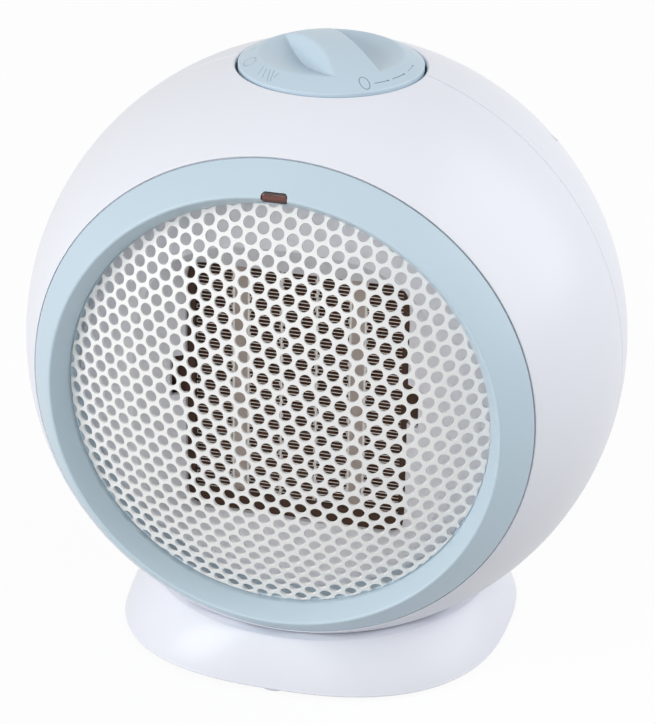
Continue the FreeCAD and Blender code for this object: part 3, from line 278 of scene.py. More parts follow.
def surface(name, look):  # a finish from its settings
    mat = bpy.data.materials.new(name)
    mat.use_nodes = True
    tree = mat.node_tree
    shader = tree.nodes["Principled BSDF"]
    for label, value in look["plain"].items():
        shader.inputs[label].default_value = value
    grain = add(tree, "ShaderNodeGroup", node_tree=mouldGrain)
    rub = add(tree, "ShaderNodeGroup", node_tree=edgeRub)
    dust = add(tree, "ShaderNodeGroup", node_tree=dustFilm)
    if "grainScale" in look:
        grain.inputs["Scale"].default_value = look["grainScale"]
    if "dust" in look:
        dust.inputs["Amount"].default_value = look["dust"]
    drift = grain.outputs["Drift"]
    body = mixed(tree, drift, look["shade"], look["colour"])
    worn = calc(tree, "MULTIPLY", rub.outputs["Mask"], rubStrength)
    rubbed = mixed(tree, worn, body, look.get("rubColour", look["colour"]))
    dusty = mixed(tree, dust.outputs["Mask"], rubbed, dustGrey)
    tree.links.new(dusty, shader.inputs["Base Color"])
    tree.links.new(mapped(tree, drift, 0.3, 0.7, *look["rough"]), shader.inputs["Roughness"])
    bump = add(tree, "ShaderNodeBump", {
        "Height": grain.outputs["Height"], "Strength": look.get("bump", 0.05), "Distance": bumpHeight})
    tree.links.new(bump.outputs["Normal"], shader.inputs["Normal"])
    return mat


def tone(colour, shade, rough, level, metal=0.0, coat=0.0, clear=0.0, **more):  # colours as they are seen
    plain = {
        "Specular IOR Level": level, "Metallic": metal, "Coat Weight": coat, "Coat Roughness": 0.08,
        "Transmission Weight": clear,
    }
    return {"colour": paint(*colour), "shade": paint(*shade), "rough": rough, "plain": plain, **more}


finishes = {
    "shellGloss": tone((237, 239, 246), (236, 238, 245), (0.32, 0.36), 0.40, bump=0.03),
    "baseGloss": tone((238, 240, 247), (233, 235, 243), (0.28, 0.38), 0.35, bump=0.03),
    "ringBlue": tone((199, 218, 229), (194, 214, 226), (0.30, 0.40), 0.40, rubColour=paint(220, 233, 241)),
    "knobBlue": tone((196, 215, 227), (191, 211, 224), (0.30, 0.40), 0.40, rubColour=paint(212, 227, 237)),
    "markGrey": tone((116, 132, 147), (108, 124, 140), (0.4, 0.5), 0.3),
    "markPale": tone((164, 184, 198), (158, 178, 193), (0.4, 0.5), 0.3),
    "grilleEnamel": tone(
        (246, 246, 244), (240, 240, 239), (0.30, 0.45), 0.40, grainScale=1400.0, bump=0.08),
    "baffleWhite": tone((249, 248, 251), (244, 243, 248), (0.45, 0.6), 0.35),
    "frameBrown": tone((84, 60, 44), (62, 42, 31), (0.5, 0.7), 0.3, grainScale=500.0, bump=0.2),
    "heaterCeramic": tone((196, 182, 173), (178, 163, 154), (0.6, 0.8), 0.25, grainScale=1600.0, bump=0.25),
    "cutoutBlack": tone(
        (46, 45, 46), (34, 33, 35), (0.4, 0.6), 0.4, bump=0.15, rubColour=paint(120, 120, 122)),
    "ductGrey": tone((120, 122, 126), (108, 110, 115), (0.45, 0.6), 0.35, bump=0.12),
    "fanBlack": tone((44, 45, 48), (32, 33, 36), (0.35, 0.5), 0.4, bump=0.1, rubColour=paint(96, 97, 100)),
    "motorSteel": tone(
        (190, 192, 196), (162, 164, 170), (0.22, 0.4), 0.5, 1.0, grainScale=2200.0, bump=0.06),
    "bushBronze": tone((190, 146, 92), (160, 116, 66), (0.3, 0.45), 0.5, 1.0, bump=0.1),
    "spindleBrass": tone((212, 178, 104), (186, 150, 78), (0.2, 0.36), 0.5, 1.0),
    "switchBlack": tone(
        (48, 47, 50), (36, 35, 38), (0.4, 0.55), 0.4, bump=0.12, rubColour=paint(110, 110, 114)),
    "plateGrey": tone((212, 213, 219), (200, 201, 208), (0.4, 0.55), 0.35, grainScale=700.0, bump=0.15),
    "footRubber": tone((234, 235, 242), (226, 227, 235), (0.65, 0.8), 0.25, grainScale=1500.0, bump=0.3),
    "screwZinc": tone((196, 196, 200), (168, 168, 174), (0.25, 0.42), 0.5, 1.0, bump=0.08),
    "glandWhite": tone((228, 229, 234), (220, 221, 228), (0.45, 0.6), 0.35, bump=0.12),
    "lampGlass": tone((255, 236, 214), (248, 214, 180), (0.05, 0.1), 0.5, clear=0.7),
    "lensRed": tone((118, 62, 50), (96, 44, 34), (0.06, 0.14), 0.5, coat=0.4, dust=0.0),
    "finStrip": tone((156, 112, 84), (126, 86, 62), (0.4, 0.6), 0.4, 0.2, grainScale=1800.0, dust=0.0),
}
made = {name: surface(name, look) for name, look in finishes.items()}


def baseColour(mat):  # its tree, its colour's socket and what feeds that so far
    colour = mat.node_tree.nodes["Principled BSDF"].inputs["Base Color"]
    return mat.node_tree, colour, colour.links[0].from_socket


def ribLens(mat):  # darker along the window's moulded ribs
    tree, colour, under = baseColour(mat)
    where = add(tree, "ShaderNodeTexCoord")
    ribs = add(tree, "ShaderNodeTexWave", {
        "Vector": where.outputs["Object"], "Scale": 95.0, "Distortion": 1.2, "Detail": 2.0},
        wave_type="BANDS", bands_direction="Z")
    tree.links.new(mixed(tree, ribs.outputs["Fac"], paint(52, 18, 13), under), colour)


def brightenFins(mat):  # heat-browned strip, bright where it was cut at the front and back
    tree, colour, under = baseColour(mat)
    shape = add(tree, "ShaderNodeNewGeometry")
    parts = add(tree, "ShaderNodeSeparateXYZ", {"Vector": shape.outputs["True Normal"]})
    cutEdge = mapped(tree, calc(tree, "ABSOLUTE", parts.outputs["Y"]), 0.6, 0.9)
    tree.links.new(mixed(tree, cutEdge, under, paint(244, 240, 234)), colour)


ribLens(made["lensRed"])
brightenFins(made["finStrip"])
print("finishes:", len(made))


def newNodes(name, inputs):  # a geometry tree, with the kind of each input
    tree = bpy.data.node_groups.new(name, "GeometryNodeTree")
    keys = {}
    for label, kind in inputs.items():
        socket = tree.interface.new_socket(label, in_out="INPUT", socket_type="NodeSocket" + kind)
        keys[label] = socket.identifier
    tree.interface.new_socket("Geometry", in_out="OUTPUT", socket_type="NodeSocketGeometry")
    return tree, tree.nodes.new("NodeGroupInput").outputs, keys


def grow(name, treeAndKeys, values, hostPoints=((0, 0, 0),)):  # runs a tree and keeps its mesh
    tree, keys = treeAndKeys
    mesh = bpy.data.meshes.new(name)
    mesh.from_pydata([tuple(p) for p in hostPoints], [], [])
    piece = bpy.data.objects.new(name, mesh)
    scene.collection.objects.link(piece)
    step = piece.modifiers.new("grow", "NODES")
    step.node_group = tree
    for label, value in values.items():
        step[keys[label]] = value
    return settle(piece)


def endTree(tree, geometry, material):  # realised, with its finish
    real = add(tree, "GeometryNodeRealizeInstances", {"Geometry": geometry})
    dress = add(tree, "GeometryNodeSetMaterial", {"Geometry": real.outputs[0], "Material": material})
    add(tree, "NodeGroupOutput", {"Geometry": dress.outputs[0]})


def thicken(tree, sheet, depth, gap):  # a flat mesh raised into a closed body
    raised = add(tree, "GeometryNodeExtrudeMesh", {
        "Mesh": sheet, "Offset Scale": depth, "Individual": False}, mode="FACES")
    under = add(tree, "GeometryNodeFlipFaces", {"Mesh": sheet})
    both = add(tree, "GeometryNodeJoinGeometry")
    tree.links.new(raised.outputs["Mesh"], both.inputs[0])
    tree.links.new(under.outputs[0], both.inputs[0])
    return add(tree, "GeometryNodeMergeByDistance", {
        "Geometry": both.outputs[0], "Distance": gap}).outputs[0]


def buildPerforation():  # flat sheet of six-sided cells, each with a round hole, staggered in columns
    lengths = ("Pitch", "Hole Radius", "Sheet", "Rim Radius", "Turn", "Shift X", "Shift Y")
    tree, put, keys = newNodes("perforation", {
        **dict.fromkeys(lengths, "Float"), "Columns": "Int", "Rows": "Int", "Finish": "Material"})
    hole = add(tree, "GeometryNodeMeshCircle", {
        "Vertices": 18, "Radius": put["Hole Radius"]}, fill_type="NONE")
    skirt = add(tree, "GeometryNodeExtrudeMesh", {
        "Mesh": hole.outputs[0], "Offset Scale": 0.0}, mode="EDGES")
    spot = add(tree, "GeometryNodeInputPosition").outputs[0]
    split = add(tree, "ShaderNodeSeparateXYZ", {"Vector": spot}).outputs
    bearing = calc(tree, "ADD", calc(tree, "ARCTAN2", split["Y"], split["X"]), 2 * math.pi)
    inSide = calc(tree, "MODULO", bearing, math.pi / 3)
    offMiddle = calc(tree, "SUBTRACT", inSide, math.pi / 6)
    half = calc(tree, "MULTIPLY", put["Pitch"], 0.5)
    reach = calc(tree, "DIVIDE", half, calc(tree, "COSINE", offMiddle))
    way = add(tree, "ShaderNodeVectorMath", {0: spot}, operation="NORMALIZE")
    border = add(tree, "ShaderNodeVectorMath", {0: way.outputs[0], "Scale": reach}, operation="SCALE")
    cell = add(tree, "GeometryNodeSetPosition", {
        "Geometry": skirt.outputs["Mesh"], "Selection": skirt.outputs["Top"],
        "Position": border.outputs[0]})
    step = calc(tree, "MULTIPLY", put["Pitch"], math.sqrt(3) / 2)
    grid = add(tree, "GeometryNodeMeshGrid", {
        "Size X": calc(tree, "MULTIPLY", calc(tree, "SUBTRACT", put["Columns"], 1.0), step),
        "Size Y": calc(tree, "MULTIPLY", calc(tree, "SUBTRACT", put["Rows"], 1.0), put["Pitch"]),
        "Vertices X": put["Columns"], "Vertices Y": put["Rows"]})
    column = calc(tree, "ROUND", calc(tree, "DIVIDE", split["X"], step))
    odd = calc(tree, "FLOORED_MODULO", column, 2.0)
    shift = add(tree, "ShaderNodeCombineXYZ", {"Y": calc(tree, "MULTIPLY", odd, half)})
    stagger = add(tree, "GeometryNodeSetPosition", {
        "Geometry": grid.outputs["Mesh"], "Offset": shift.outputs[0]})
    aslant = add(tree, "ShaderNodeCombineXYZ", {"Z": put["Turn"]}).outputs[0]
    moved = add(tree, "ShaderNodeCombineXYZ", {"X": put["Shift X"], "Y": put["Shift Y"]})
    lattice = add(tree, "GeometryNodeTransform", {
        "Geometry": stagger.outputs[0], "Translation": moved.outputs[0], "Rotation": aslant})
    away = add(tree, "ShaderNodeVectorMath", {0: spot}, operation="LENGTH").outputs["Value"]
    near = calc(tree, "LESS_THAN", away, calc(tree, "ADD", put["Rim Radius"], put["Pitch"]))
    cells = add(tree, "GeometryNodeInstanceOnPoints", {
        "Points": lattice.outputs[0], "Selection": near, "Instance": cell.outputs[0], "Rotation": aslant})
    real = add(tree, "GeometryNodeRealizeInstances", {"Geometry": cells.outputs[0]})
    sheet = add(tree, "GeometryNodeMergeByDistance", {"Geometry": real.outputs[0], "Distance": 0.02})
    endTree(tree, thicken(tree, sheet.outputs[0], put["Sheet"], 0.02), put["Finish"])
    return tree, keys


def buildSetOut():  # one fastener at each of the host's points
    tree, put, keys = newNodes("setOut", {
        "Geometry": "Geometry", "Part": "Object", "Turn Step": "Float", "Finish": "Material"})
    points = add(tree, "GeometryNodeMeshToPoints", {"Mesh": put["Geometry"]})
    part = add(tree, "GeometryNodeObjectInfo", {"Object": put["Part"]})
    number = add(tree, "GeometryNodeInputIndex")
    turned = calc(tree, "MULTIPLY", number.outputs[0], put["Turn Step"])
    spin = add(tree, "ShaderNodeCombineXYZ", {"Z": turned})
    laid = add(tree, "GeometryNodeInstanceOnPoints", {
        "Points": points.outputs[0], "Instance": part.outputs["Geometry"], "Rotation": spin.outputs[0]})
    endTree(tree, laid.outputs[0], put["Finish"])
    return tree, keys


def buildSunburst():  # round-ended slots in a ring, as one cutting tool
    lengths = ("Inner", "Outer", "Width", "Depth")
    tree, put, keys = newNodes("sunburst", {
        **dict.fromkeys(lengths, "Float"), "Count": "Int", "Finish": "Material"})
    half = calc(tree, "MULTIPLY", put["Width"], 0.5)
    low = calc(tree, "ADD", put["Inner"], half)
    high = calc(tree, "SUBTRACT", put["Outer"], half)
    disc = add(tree, "GeometryNodeMeshCircle", {"Vertices": 20, "Radius": half}, fill_type="NGON")
    spot = add(tree, "GeometryNodeInputPosition")
    split = add(tree, "ShaderNodeSeparateXYZ", {"Vector": spot.outputs[0]})
    outer = calc(tree, "GREATER_THAN", split.outputs["X"], 1e-4)
    pull = calc(tree, "MULTIPLY", outer, calc(tree, "SUBTRACT", high, low))
    move = add(tree, "ShaderNodeCombineXYZ", {"X": calc(tree, "ADD", pull, low)})
    face = add(tree, "GeometryNodeSetPosition", {"Geometry": disc.outputs[0], "Offset": move.outputs[0]})
    slot = thicken(tree, face.outputs[0], put["Depth"], 0.01)
    seats = add(tree, "GeometryNodeMeshLine", {"Count": put["Count"], "Offset": (0.0, 0.0, 0.0)})
    number = add(tree, "GeometryNodeInputIndex")
    share = calc(tree, "DIVIDE", 2 * math.pi, put["Count"])
    spin = add(tree, "ShaderNodeCombineXYZ", {"Z": calc(tree, "MULTIPLY", number.outputs[0], share)})
    ring = add(tree, "GeometryNodeInstanceOnPoints", {
        "Points": seats.outputs[0], "Instance": slot, "Rotation": spin.outputs[0]})
    endTree(tree, ring.outputs[0], put["Finish"])
    return tree, keys


perforation = buildPerforation()
setOutTree = buildSetOut()
sunburst = buildSunburst()
print("node trees ready")


shell = {
    "wall": 2.4, "steps": 192, "seamRound": 0.4, "seamGap": 0.26, "openingReach": 63.6, "edgeRound": 0.5,
    "knobHole": 35.5, "knobEdge": 0.7, "knobCut": (88.0, 130.0), "baseHole": 37.5,
    "baseCut": (-90.0, -130.0), "flangeBack": 50.6, "flangeFront": 52.8, "flangeBore": 84.0,
    "rebateBore": 95.45, "rebateDeep": 1.1, "edgeDrop": 0.12, "rebateEdge": (0.05, 0.2),
}


def ballAt(reach):
    return math.sqrt(ballRadius * ballRadius - reach * reach)


def ballArc(start, finish, radius, steps):  # from one reach to another along the ball
    turns = np.linspace(math.asin(start / radius), math.asin(finish / radius), steps + 1)
    return [(radius * math.cos(t), radius * math.sin(t)) for t in turns]


def ballTool(name, radius, steps, rings, end=89):  # a whole ball, rings between two end angles
    half = [(max(r, 0), z) for r, z in arc((0, 0), radius, end, -end, rings)]
    return spindle(name, [(0, radius)] + half + [(0, -radius)], steps)


def seamEdge(way, gap=0.0):  # rounded edge at the seam, from the wall's end face to the outside
    r = shell["seamRound"]
    turns = np.radians(np.linspace(0, 90, 5))
    return [(ballRadius - r + r * math.sin(t), way * (gap + r * (1 - math.cos(t)))) for t in turns[:-1]]


def knobHoleCutter():
    edge = shell["knobEdge"]
    low, high = shell["knobCut"]
    wide = shell["knobHole"] + edge
    centre = (wide, math.sqrt((ballRadius - edge) ** 2 - wide ** 2))
    last = math.degrees(math.atan2(centre[1], centre[0]))
    turn = arc(centre, edge, 180, last + 6, 6)
    lip = Vector(turn[-1]).normalized()
    profile = [(0, low), (shell["knobHole"], low)] + turn
    profile += [tuple(lip * (ballRadius + 6)), (0, high)]
    return spindle("knobHoleCutter", profile, 160)


def baseHoleCutter():
    return spindle("baseHoleCutter", plug(shell["baseHole"], *shell["baseCut"]))


def rods(name, radius, start, finish, spots):  # along the front-to-back axis, y from start to finish
    points, faces = lathe(plug(radius, -start, -finish), 48, "Y", closed=False)
    allPoints, allFaces = [], []
    for x, z in spots:
        first = len(allPoints)
        allPoints += (points + np.array((x, 0, z))).tolist()
        allFaces += [[v + first for v in face] for face in faces]
    return meshPiece(name, allPoints, allFaces)


seamWell = {
    "offset": 75.66, "tube": 5.4, "access": 3.7, "seat": 8.0, "passing": 1.8, "deep": 70.0, "skin": 0.6,
}
seamSpots = [(sx * seamWell["offset"], sz * seamWell["offset"]) for sx, sz in fourWays]


def openHalf(piece):  # the holes that both halves share, then their shading
    carve(piece, knobHoleCutter())
    carve(piece, baseHoleCutter())
    soften(piece)
    ballNormals(piece)


def makeFrontShell():
    inside = ballRadius - shell["wall"]
    reach = shell["openingReach"]
    gap = shell["seamGap"]
    front = [(inside, gap)] + seamEdge(1, gap)
    front += ballArc(gap + shell["seamRound"], reach - shell["edgeRound"], ballRadius, 72)
    rebate = reach - shell["rebateDeep"]
    drop = shell["edgeDrop"]
    wider, lower = shell["rebateEdge"]
    front += [(ballAt(reach) - drop, reach - drop), (shell["rebateBore"] + wider, reach - lower)]
    front += [(shell["rebateBore"], rebate)] + ballArc(rebate, shell["flangeFront"], inside, 6)
    front += [(shell["flangeBore"], shell["flangeFront"]), (shell["flangeBore"], shell["flangeBack"])]
    front += ballArc(shell["flangeBack"], gap + 0.2, inside, 40)
    piece = meshPiece("frontShell", *lathe(front, shell["steps"]))
    openHalf(piece)
    handIn(piece, "housing", "shell_white", "front_shell", finish=made["shellGloss"])


inlet = {"Count": 30, "Inner": 26.0, "Outer": 64.0, "Width": 3.8, "Depth": 60.0}
inletLift = 70.0


def inletCutter():  # the ring of slots, stood up behind the ball
    tool = grow("inletCutter", sunburst, {**inlet, "Finish": made["shellGloss"]})
    for vertex in tool.data.vertices:
        x, y, z = vertex.co
        vertex.co = inFrame([(y, inletLift + z, x)])[0]
    tidyMesh(tool)
    return tool


gland = {
    "angle": 42.0, "bore": 3.3, "sleeve": 4.4, "stem": 5.9, "flange": 8.5, "flangeThick": 1.8,
    "collar": 9.5, "play": 0.3, "barb": 1.2, "holeCut": (100.0, 125.0),
}


def alongGland(points):  # from the gland's own axis, drawn along Z, to its place on the ball
    tilt = math.radians(90 + gland["angle"])
    c, s = math.cos(tilt), math.sin(tilt)
    return [(x, y * c + z * s, -y * s + z * c) for x, y, z in points]


def makeRearShell():
    inside = ballRadius - shell["wall"]
    rear = [(inside, 0.0)] + seamEdge(-1) + ballArc(-shell["seamRound"], -ballRadius, ballRadius, 110)
    rear[-1] = (0.0, -ballRadius)
    back = ballArc(-inside, -0.2, inside, 80)
    back[0] = (0.0, -inside)
    w = seamWell
    piece = meshPiece("rearShell", *lathe(rear + back, shell["steps"]))
    tubes = rods("wellTubes", w["tube"], 0.5, w["deep"], seamSpots)
    carve(tubes, ballTool("wellKeep", ballRadius - w["skin"], 96, 60, 88), "INTERSECT")
    carve(piece, tubes, "UNION")
    carve(piece, rods("wellAccess", w["access"], w["seat"], w["deep"], seamSpots))
    carve(piece, rods("wellPassing", w["passing"], -1.0, w["seat"] + 1, seamSpots))
    carve(piece, inletCutter())
    hole = plug(gland["stem"] + gland["play"], *gland["holeCut"])
    points, faces = lathe(hole, 48, "Z", closed=False)
    carve(piece, meshPiece("glandHole", alongGland(points), faces))
    openHalf(piece)
    handIn(piece, "housing", "shell_white", "rear_shell", finish=made["shellGloss"])


makeFrontShell()
makeRearShell()
print("ball halves made")


bezel = {
    "lip": 85.1, "lipReach": 76.6, "lipRound": 0.9, "lipFrom": 148, "lipTo": 44, "edge": 95.05,
    "edgeRise": 0.45, "spigot": 92.6, "back": 55.3, "sink": 0.6, "throat": 80.11, "throatReach": 69.4,
    "wall": 2.2, "steps": 220, "faceSteps": 24, "ledgeBore": 79.5, "ledgeFace": 66.52, "ledgeFoot": 64.92,
    "ledgeEdge": 0.25, "seatRound": ((-0.05, 0.12), (-0.3, 0.0)),
    "backRound": ((0.5, 0.0), (0.12, 0.12), (0.0, 0.5)),
    "throatRound": ((0.0, -0.4), (0.05, -0.1), (0.2, 0.3)),
}
lens = {
    "width": 9.3, "across": 0.8, "low": 83.25, "high": 86.8, "front": 76.1, "length": 12.0, "corner": 1.3,
    "footCorner": 0.8, "edge": 0.55, "crown": 0.12, "play": 0.22,
}


def bowed(start, end, steps):  # from one point to the other, swollen outwards like the ball
    chord = end - start
    side = Vector((-chord.y, chord.x)).normalized()
    bow = chord.length ** 2 / (8 * ballRadius)
    shares = [k / steps for k in range(1, steps + 1)]
    return [tuple(start + chord * t + side * (4 * bow * t * (1 - t))) for t in shares]


def makeBezel():
    b = bezel
    shoulder = b["lipReach"] - b["lipRound"]
    outerLip = b["lip"] + b["lipRound"]
    opening = shell["openingReach"]
    profile = arc((b["lip"], shoulder), b["lipRound"], b["lipFrom"], b["lipTo"], 10)
    profile += bowed(Vector(profile[-1]), Vector((b["edge"], opening + b["edgeRise"])), b["faceSteps"])
    seat = opening - b["sink"]
    profile += [(b["edge"] + out, seat + up) for out, up in b["seatRound"]]
    wallIn = b["spigot"] - b["wall"]
    throat = b["throat"]
    profile += [
        (b["spigot"], seat), (b["spigot"], b["back"]), (wallIn, b["back"]), (wallIn, opening + b["wall"]),
        (outerLip, shoulder - 2 * b["wall"]), (b["lip"], shoulder - 2 * b["wall"]),
        (throat + b["wall"], b["back"])]
    profile += [(throat + out, b["back"] + up) for out, up in b["backRound"]]
    bore, edge = b["ledgeBore"], b["ledgeEdge"]
    profile += [
        (throat, b["ledgeFoot"]), (bore + edge, b["ledgeFoot"]), (bore, b["ledgeFoot"] + edge),
        (bore, b["ledgeFace"] - edge), (bore + edge, b["ledgeFace"]), (throat, b["ledgeFace"])]
    profile += [(throat + out, b["throatReach"] + up) for out, up in b["throatRound"]]
    piece = meshPiece("bezelRing", *lathe(profile, b["steps"]))
    play = lens["play"]
    notch = lensFace(-play, lens["corner"] + play, 0.0, 6)
    carve(piece, block("lensNotch", notch, lens["front"] - lens["length"] - 2, 90))
    soften(piece, 30)
    handIn(piece, "housing", "ring_blue", "bezel_ring", finish=made["ringBlue"])


def lensFace(inset, corner, footCorner, steps):  # the window's outline in x and z
    half = lens["width"] / 2 - inset
    low, high = lens["low"] + inset, lens["high"] - inset
    face = rounded([
        (-half, low, footCorner), (half, low, footCorner),
        (half, high, corner), (-half, high, corner)], steps)
    return [(x + lens["across"], z) for x, z in face]


def makeLens():  # rounded block, softened round its front
    edge = lens["edge"]
    rings = [(0.0, lens["front"] - lens["length"])]
    for t in np.linspace(0, 1.5, 6):
        rings.append((edge * (1 - math.cos(t)), lens["front"] - edge + edge * math.sin(t)))
    points, faces = [], []
    for inset, reach in rings:
        face = lensFace(inset, lens["corner"], lens["footCorner"], 7)
        points += [(x, -reach, z) for x, z in face]
    size = len(points) // len(rings)
    for k in range(len(rings) - 1):
        faces += band(k * size, (k + 1) * size, size)
    middle = (lens["low"] + lens["high"]) / 2
    points.append((lens["across"], -(lens["front"] + lens["crown"]), middle))
    top = (len(rings) - 1) * size
    faces += [[top + j, top + (j + 1) % size, len(points) - 1] for j in range(size)]
    faces.append(list(range(size)))
    piece = meshPiece("pilotLens", points, faces)
    soften(piece, 40)
    handIn(piece, "housing", "lens_red", "indicator_lens", finish=made["lensRed"])


makeBezel()
makeLens()
print("bezel ring and pilot light made")


grille = {
    "pitch": 5.95, "holeRadius": 2.2, "sheet": 0.8, "apex": 86.3, "crown": 178.0, "rim": 79.6,
    "rimSteps": 240, "turn": math.radians(15.3), "shiftX": 2.8, "shiftZ": 7.7, "flare": 0.14,
    "columns": 41, "rows": 37,
}


def pressDome(flat, lift):  # a flat radius and a height over the sheet to the dome's radius and reach
    lean = flat / grille["crown"]
    out = grille["crown"] + lift
    return out * np.sin(lean), grille["apex"] - grille["crown"] + out * np.cos(lean)


def fromHoles(flat):  # each point's way from the nearest hole's centre, in the sheet's plane
    g = grille
    step = g["pitch"] * math.sqrt(3) / 2
    c, s = math.cos(g["turn"]), math.sin(g["turn"])
    shifted = flat - (g["shiftX"], g["shiftZ"])
    square = np.stack([shifted[:, 0] * c + shifted[:, 1] * s, shifted[:, 1] * c - shifted[:, 0] * s], 1)
    columns = np.round(square[:, 0] / step)
    best = np.full(len(flat), 1e9)
    way = np.zeros((len(flat), 2))
    for shift in (-1, 0, 1):
        column = columns + shift
        offset = np.mod(column, 2) * g["pitch"] / 2
        row = np.round((square[:, 1] - offset) / g["pitch"])
        away = square - np.stack([column * step, row * g["pitch"] + offset], 1)
        distance = np.hypot(away[:, 0], away[:, 1])
        closer = distance < best
        best = np.where(closer, distance, best)
        way[closer] = away[closer]
    return best, np.stack([way[:, 0] * c - way[:, 1] * s, way[:, 0] * s + way[:, 1] * c], 1)


def makeGrille():
    g = grille
    flatRim = g["crown"] * math.asin(g["rim"] / g["crown"])
    piece = grow("frontGrille", perforation, {
        "Pitch": g["pitch"], "Hole Radius": g["holeRadius"], "Columns": g["columns"], "Rows": g["rows"],
        "Sheet": g["sheet"], "Rim Radius": flatRim, "Turn": g["turn"],
        "Shift X": g["shiftX"], "Shift Y": g["shiftZ"], "Finish": made["grilleEnamel"]})
    tidyMesh(piece)
    points, faces = lathe(plug(flatRim, -5, 5), g["rimSteps"], "Z", closed=False)
    carve(piece, placed("rimTrim", points, faces), "INTERSECT")
    mesh = piece.data
    flat = np.empty(len(mesh.vertices) * 3)
    mesh.vertices.foreach_get("co", flat)
    flat = flat.reshape(-1, 3)
    distance, way = fromHoles(flat[:, :2])
    onEdge = (flat[:, 2] > g["sheet"] / 2) & (distance < g["holeRadius"] + 0.03)
    flat[onEdge, :2] += way[onEdge] / distance[onEdge, None] * g["flare"]  # punched edges open to the front
    across = np.hypot(flat[:, 0], flat[:, 1])
    safe = np.maximum(across, 1e-6)
    radius, reach = pressDome(across, flat[:, 2] - g["sheet"])
    dome = np.stack([flat[:, 0] / safe * radius, -reach, flat[:, 1] / safe * radius], 1)
    mesh.vertices.foreach_set("co", inFrame(dome).ravel())
    tidyMesh(piece)
    soften(piece, 35)
    handIn(piece, "housing", "grille_white", "front_grille", finish=made["grilleEnamel"])


baffle = {
    "face": 55.0, "floor": 43.0, "wall": 2.2, "rim": 91.0, "steps": 256, "middle": -8.2,
    "mouth": (60.0, 64.5), "mouthSquare": 3.0, "window": (43.0, 51.0), "windowSquare": 16.0,
    "notch": (48.0, 8.0), "notchFront": 47.5, "notchMiddle": -4.0, "notchLap": 2.0,
    "postTop": 50.8, "postFoot": 24.8, "post": 4.2, "postSpot": (56.0, 27.0),
    "pilot": 1.55, "pilotDeep": 11.05,
}


def squared(half, power, turns):  # a squared oval's radii at the angles given
    wide, high = half
    return (np.abs(np.cos(turns) / wide) ** power + np.abs(np.sin(turns) / high) ** power) ** (-1 / power)


def makeBaffle():  # flat collar and a funnel down to the window of the heating core
    b = baffle
    count = b["steps"]
    turns = np.linspace(0, 2 * math.pi, count, endpoint=False)
    rim = (np.full(count, b["rim"]), 0.0)
    mouth = (squared(b["mouth"], b["mouthSquare"], turns), b["middle"])
    window = (squared(b["window"], b["windowSquare"], turns), b["middle"])
    back, low = b["face"] - b["wall"], b["floor"] - b["wall"]
    rings = [
        (rim, b["face"]), (mouth, b["face"]), (window, b["floor"]),
        (window, low), (mouth, back), (rim, back)]
    points, faces = [], []
    for k, ((radii, middle), reach) in enumerate(rings):
        points += [(r * math.cos(a), -reach, middle + r * math.sin(a)) for r, a in zip(radii, turns)]
        faces += band(k * count, (k + 1) % len(rings) * count, count)
    piece = meshPiece("frontBaffle", points, faces)
    across, half = b["notch"]
    floor, top = b["notchMiddle"] - half, b["notchMiddle"] + half
    for way in (-1, 1):
        inner = way * (b["window"][0] - b["notchLap"])
        face = [(inner, floor), (way * across, floor), (way * across, top), (inner, top)]
        carve(piece, block("notch", face, low - 1, b["notchFront"]))
    wide, high = b["postSpot"]
    spots = [(-sx * wide, -sz * high) for sx, sz in fourWays]
    carve(piece, rods("fanPosts", b["post"], -b["postTop"], -b["postFoot"], spots), "UNION")
    pilotEnd = b["postFoot"] + b["pilotDeep"]
    carve(piece, rods("postPilots", b["pilot"], -pilotEnd, 1 - b["postFoot"], spots))
    soften(piece, 25)
    handIn(piece, "housing", "baffle_white", "front_baffle", finish=made["baffleWhite"])


makeGrille()
makeBaffle()
print("perforated dome pressed, baffle behind it made")


knob = {
    "radius": 34.5, "crown": 68.7, "top": 119.27, "turn": math.radians(37.5), "barHalf": 6.55,
    "footHalf": 10.55, "scoop": 26.6, "scoopRim": 113.9, "rimRise": 0.9, "foot": 110.2, "edgeRound": 0.9,
    "skirtFoot": 102.0, "skirtWall": 2.0, "skirtEdge": 0.3, "ceiling": 108.2, "lines": 170,
    "crowding": 0.35, "blendBar": 1.5, "blendRim": 0.35, "blendFoot": 0.7,
}


def softMin(a, b, width):
    mix = np.clip(0.5 + 0.5 * (b - a) / width, 0, 1)
    return b * (1 - mix) + a * mix - width * mix * (1 - mix)


def softMax(a, b, width):
    return -softMin(-a, -b, width)


def knobDome(away):
    return knob["top"] - knob["crown"] + np.sqrt(np.maximum(knob["crown"] ** 2 - away ** 2, 0))


def knobHeight(u, v):  # u across the bar, v along it
    k = knob
    away = np.hypot(u, v)
    slope = (k["scoopRim"] - k["foot"]) / (k["scoop"] - k["footHalf"])
    floor = k["scoopRim"] - slope * (k["scoop"] - away)
    floor = np.where(away > k["scoop"], k["scoopRim"] + k["rimRise"] * (away - k["scoop"]), floor)
    steep = (k["top"] - k["foot"]) / (k["footHalf"] - k["barHalf"])
    wall = k["foot"] + (k["footHalf"] - np.abs(u)) * steep
    scooped = softMax(floor, wall, k["blendFoot"])
    return softMin(knobDome(away), scooped, np.where(wall > floor, k["blendBar"], k["blendRim"]))


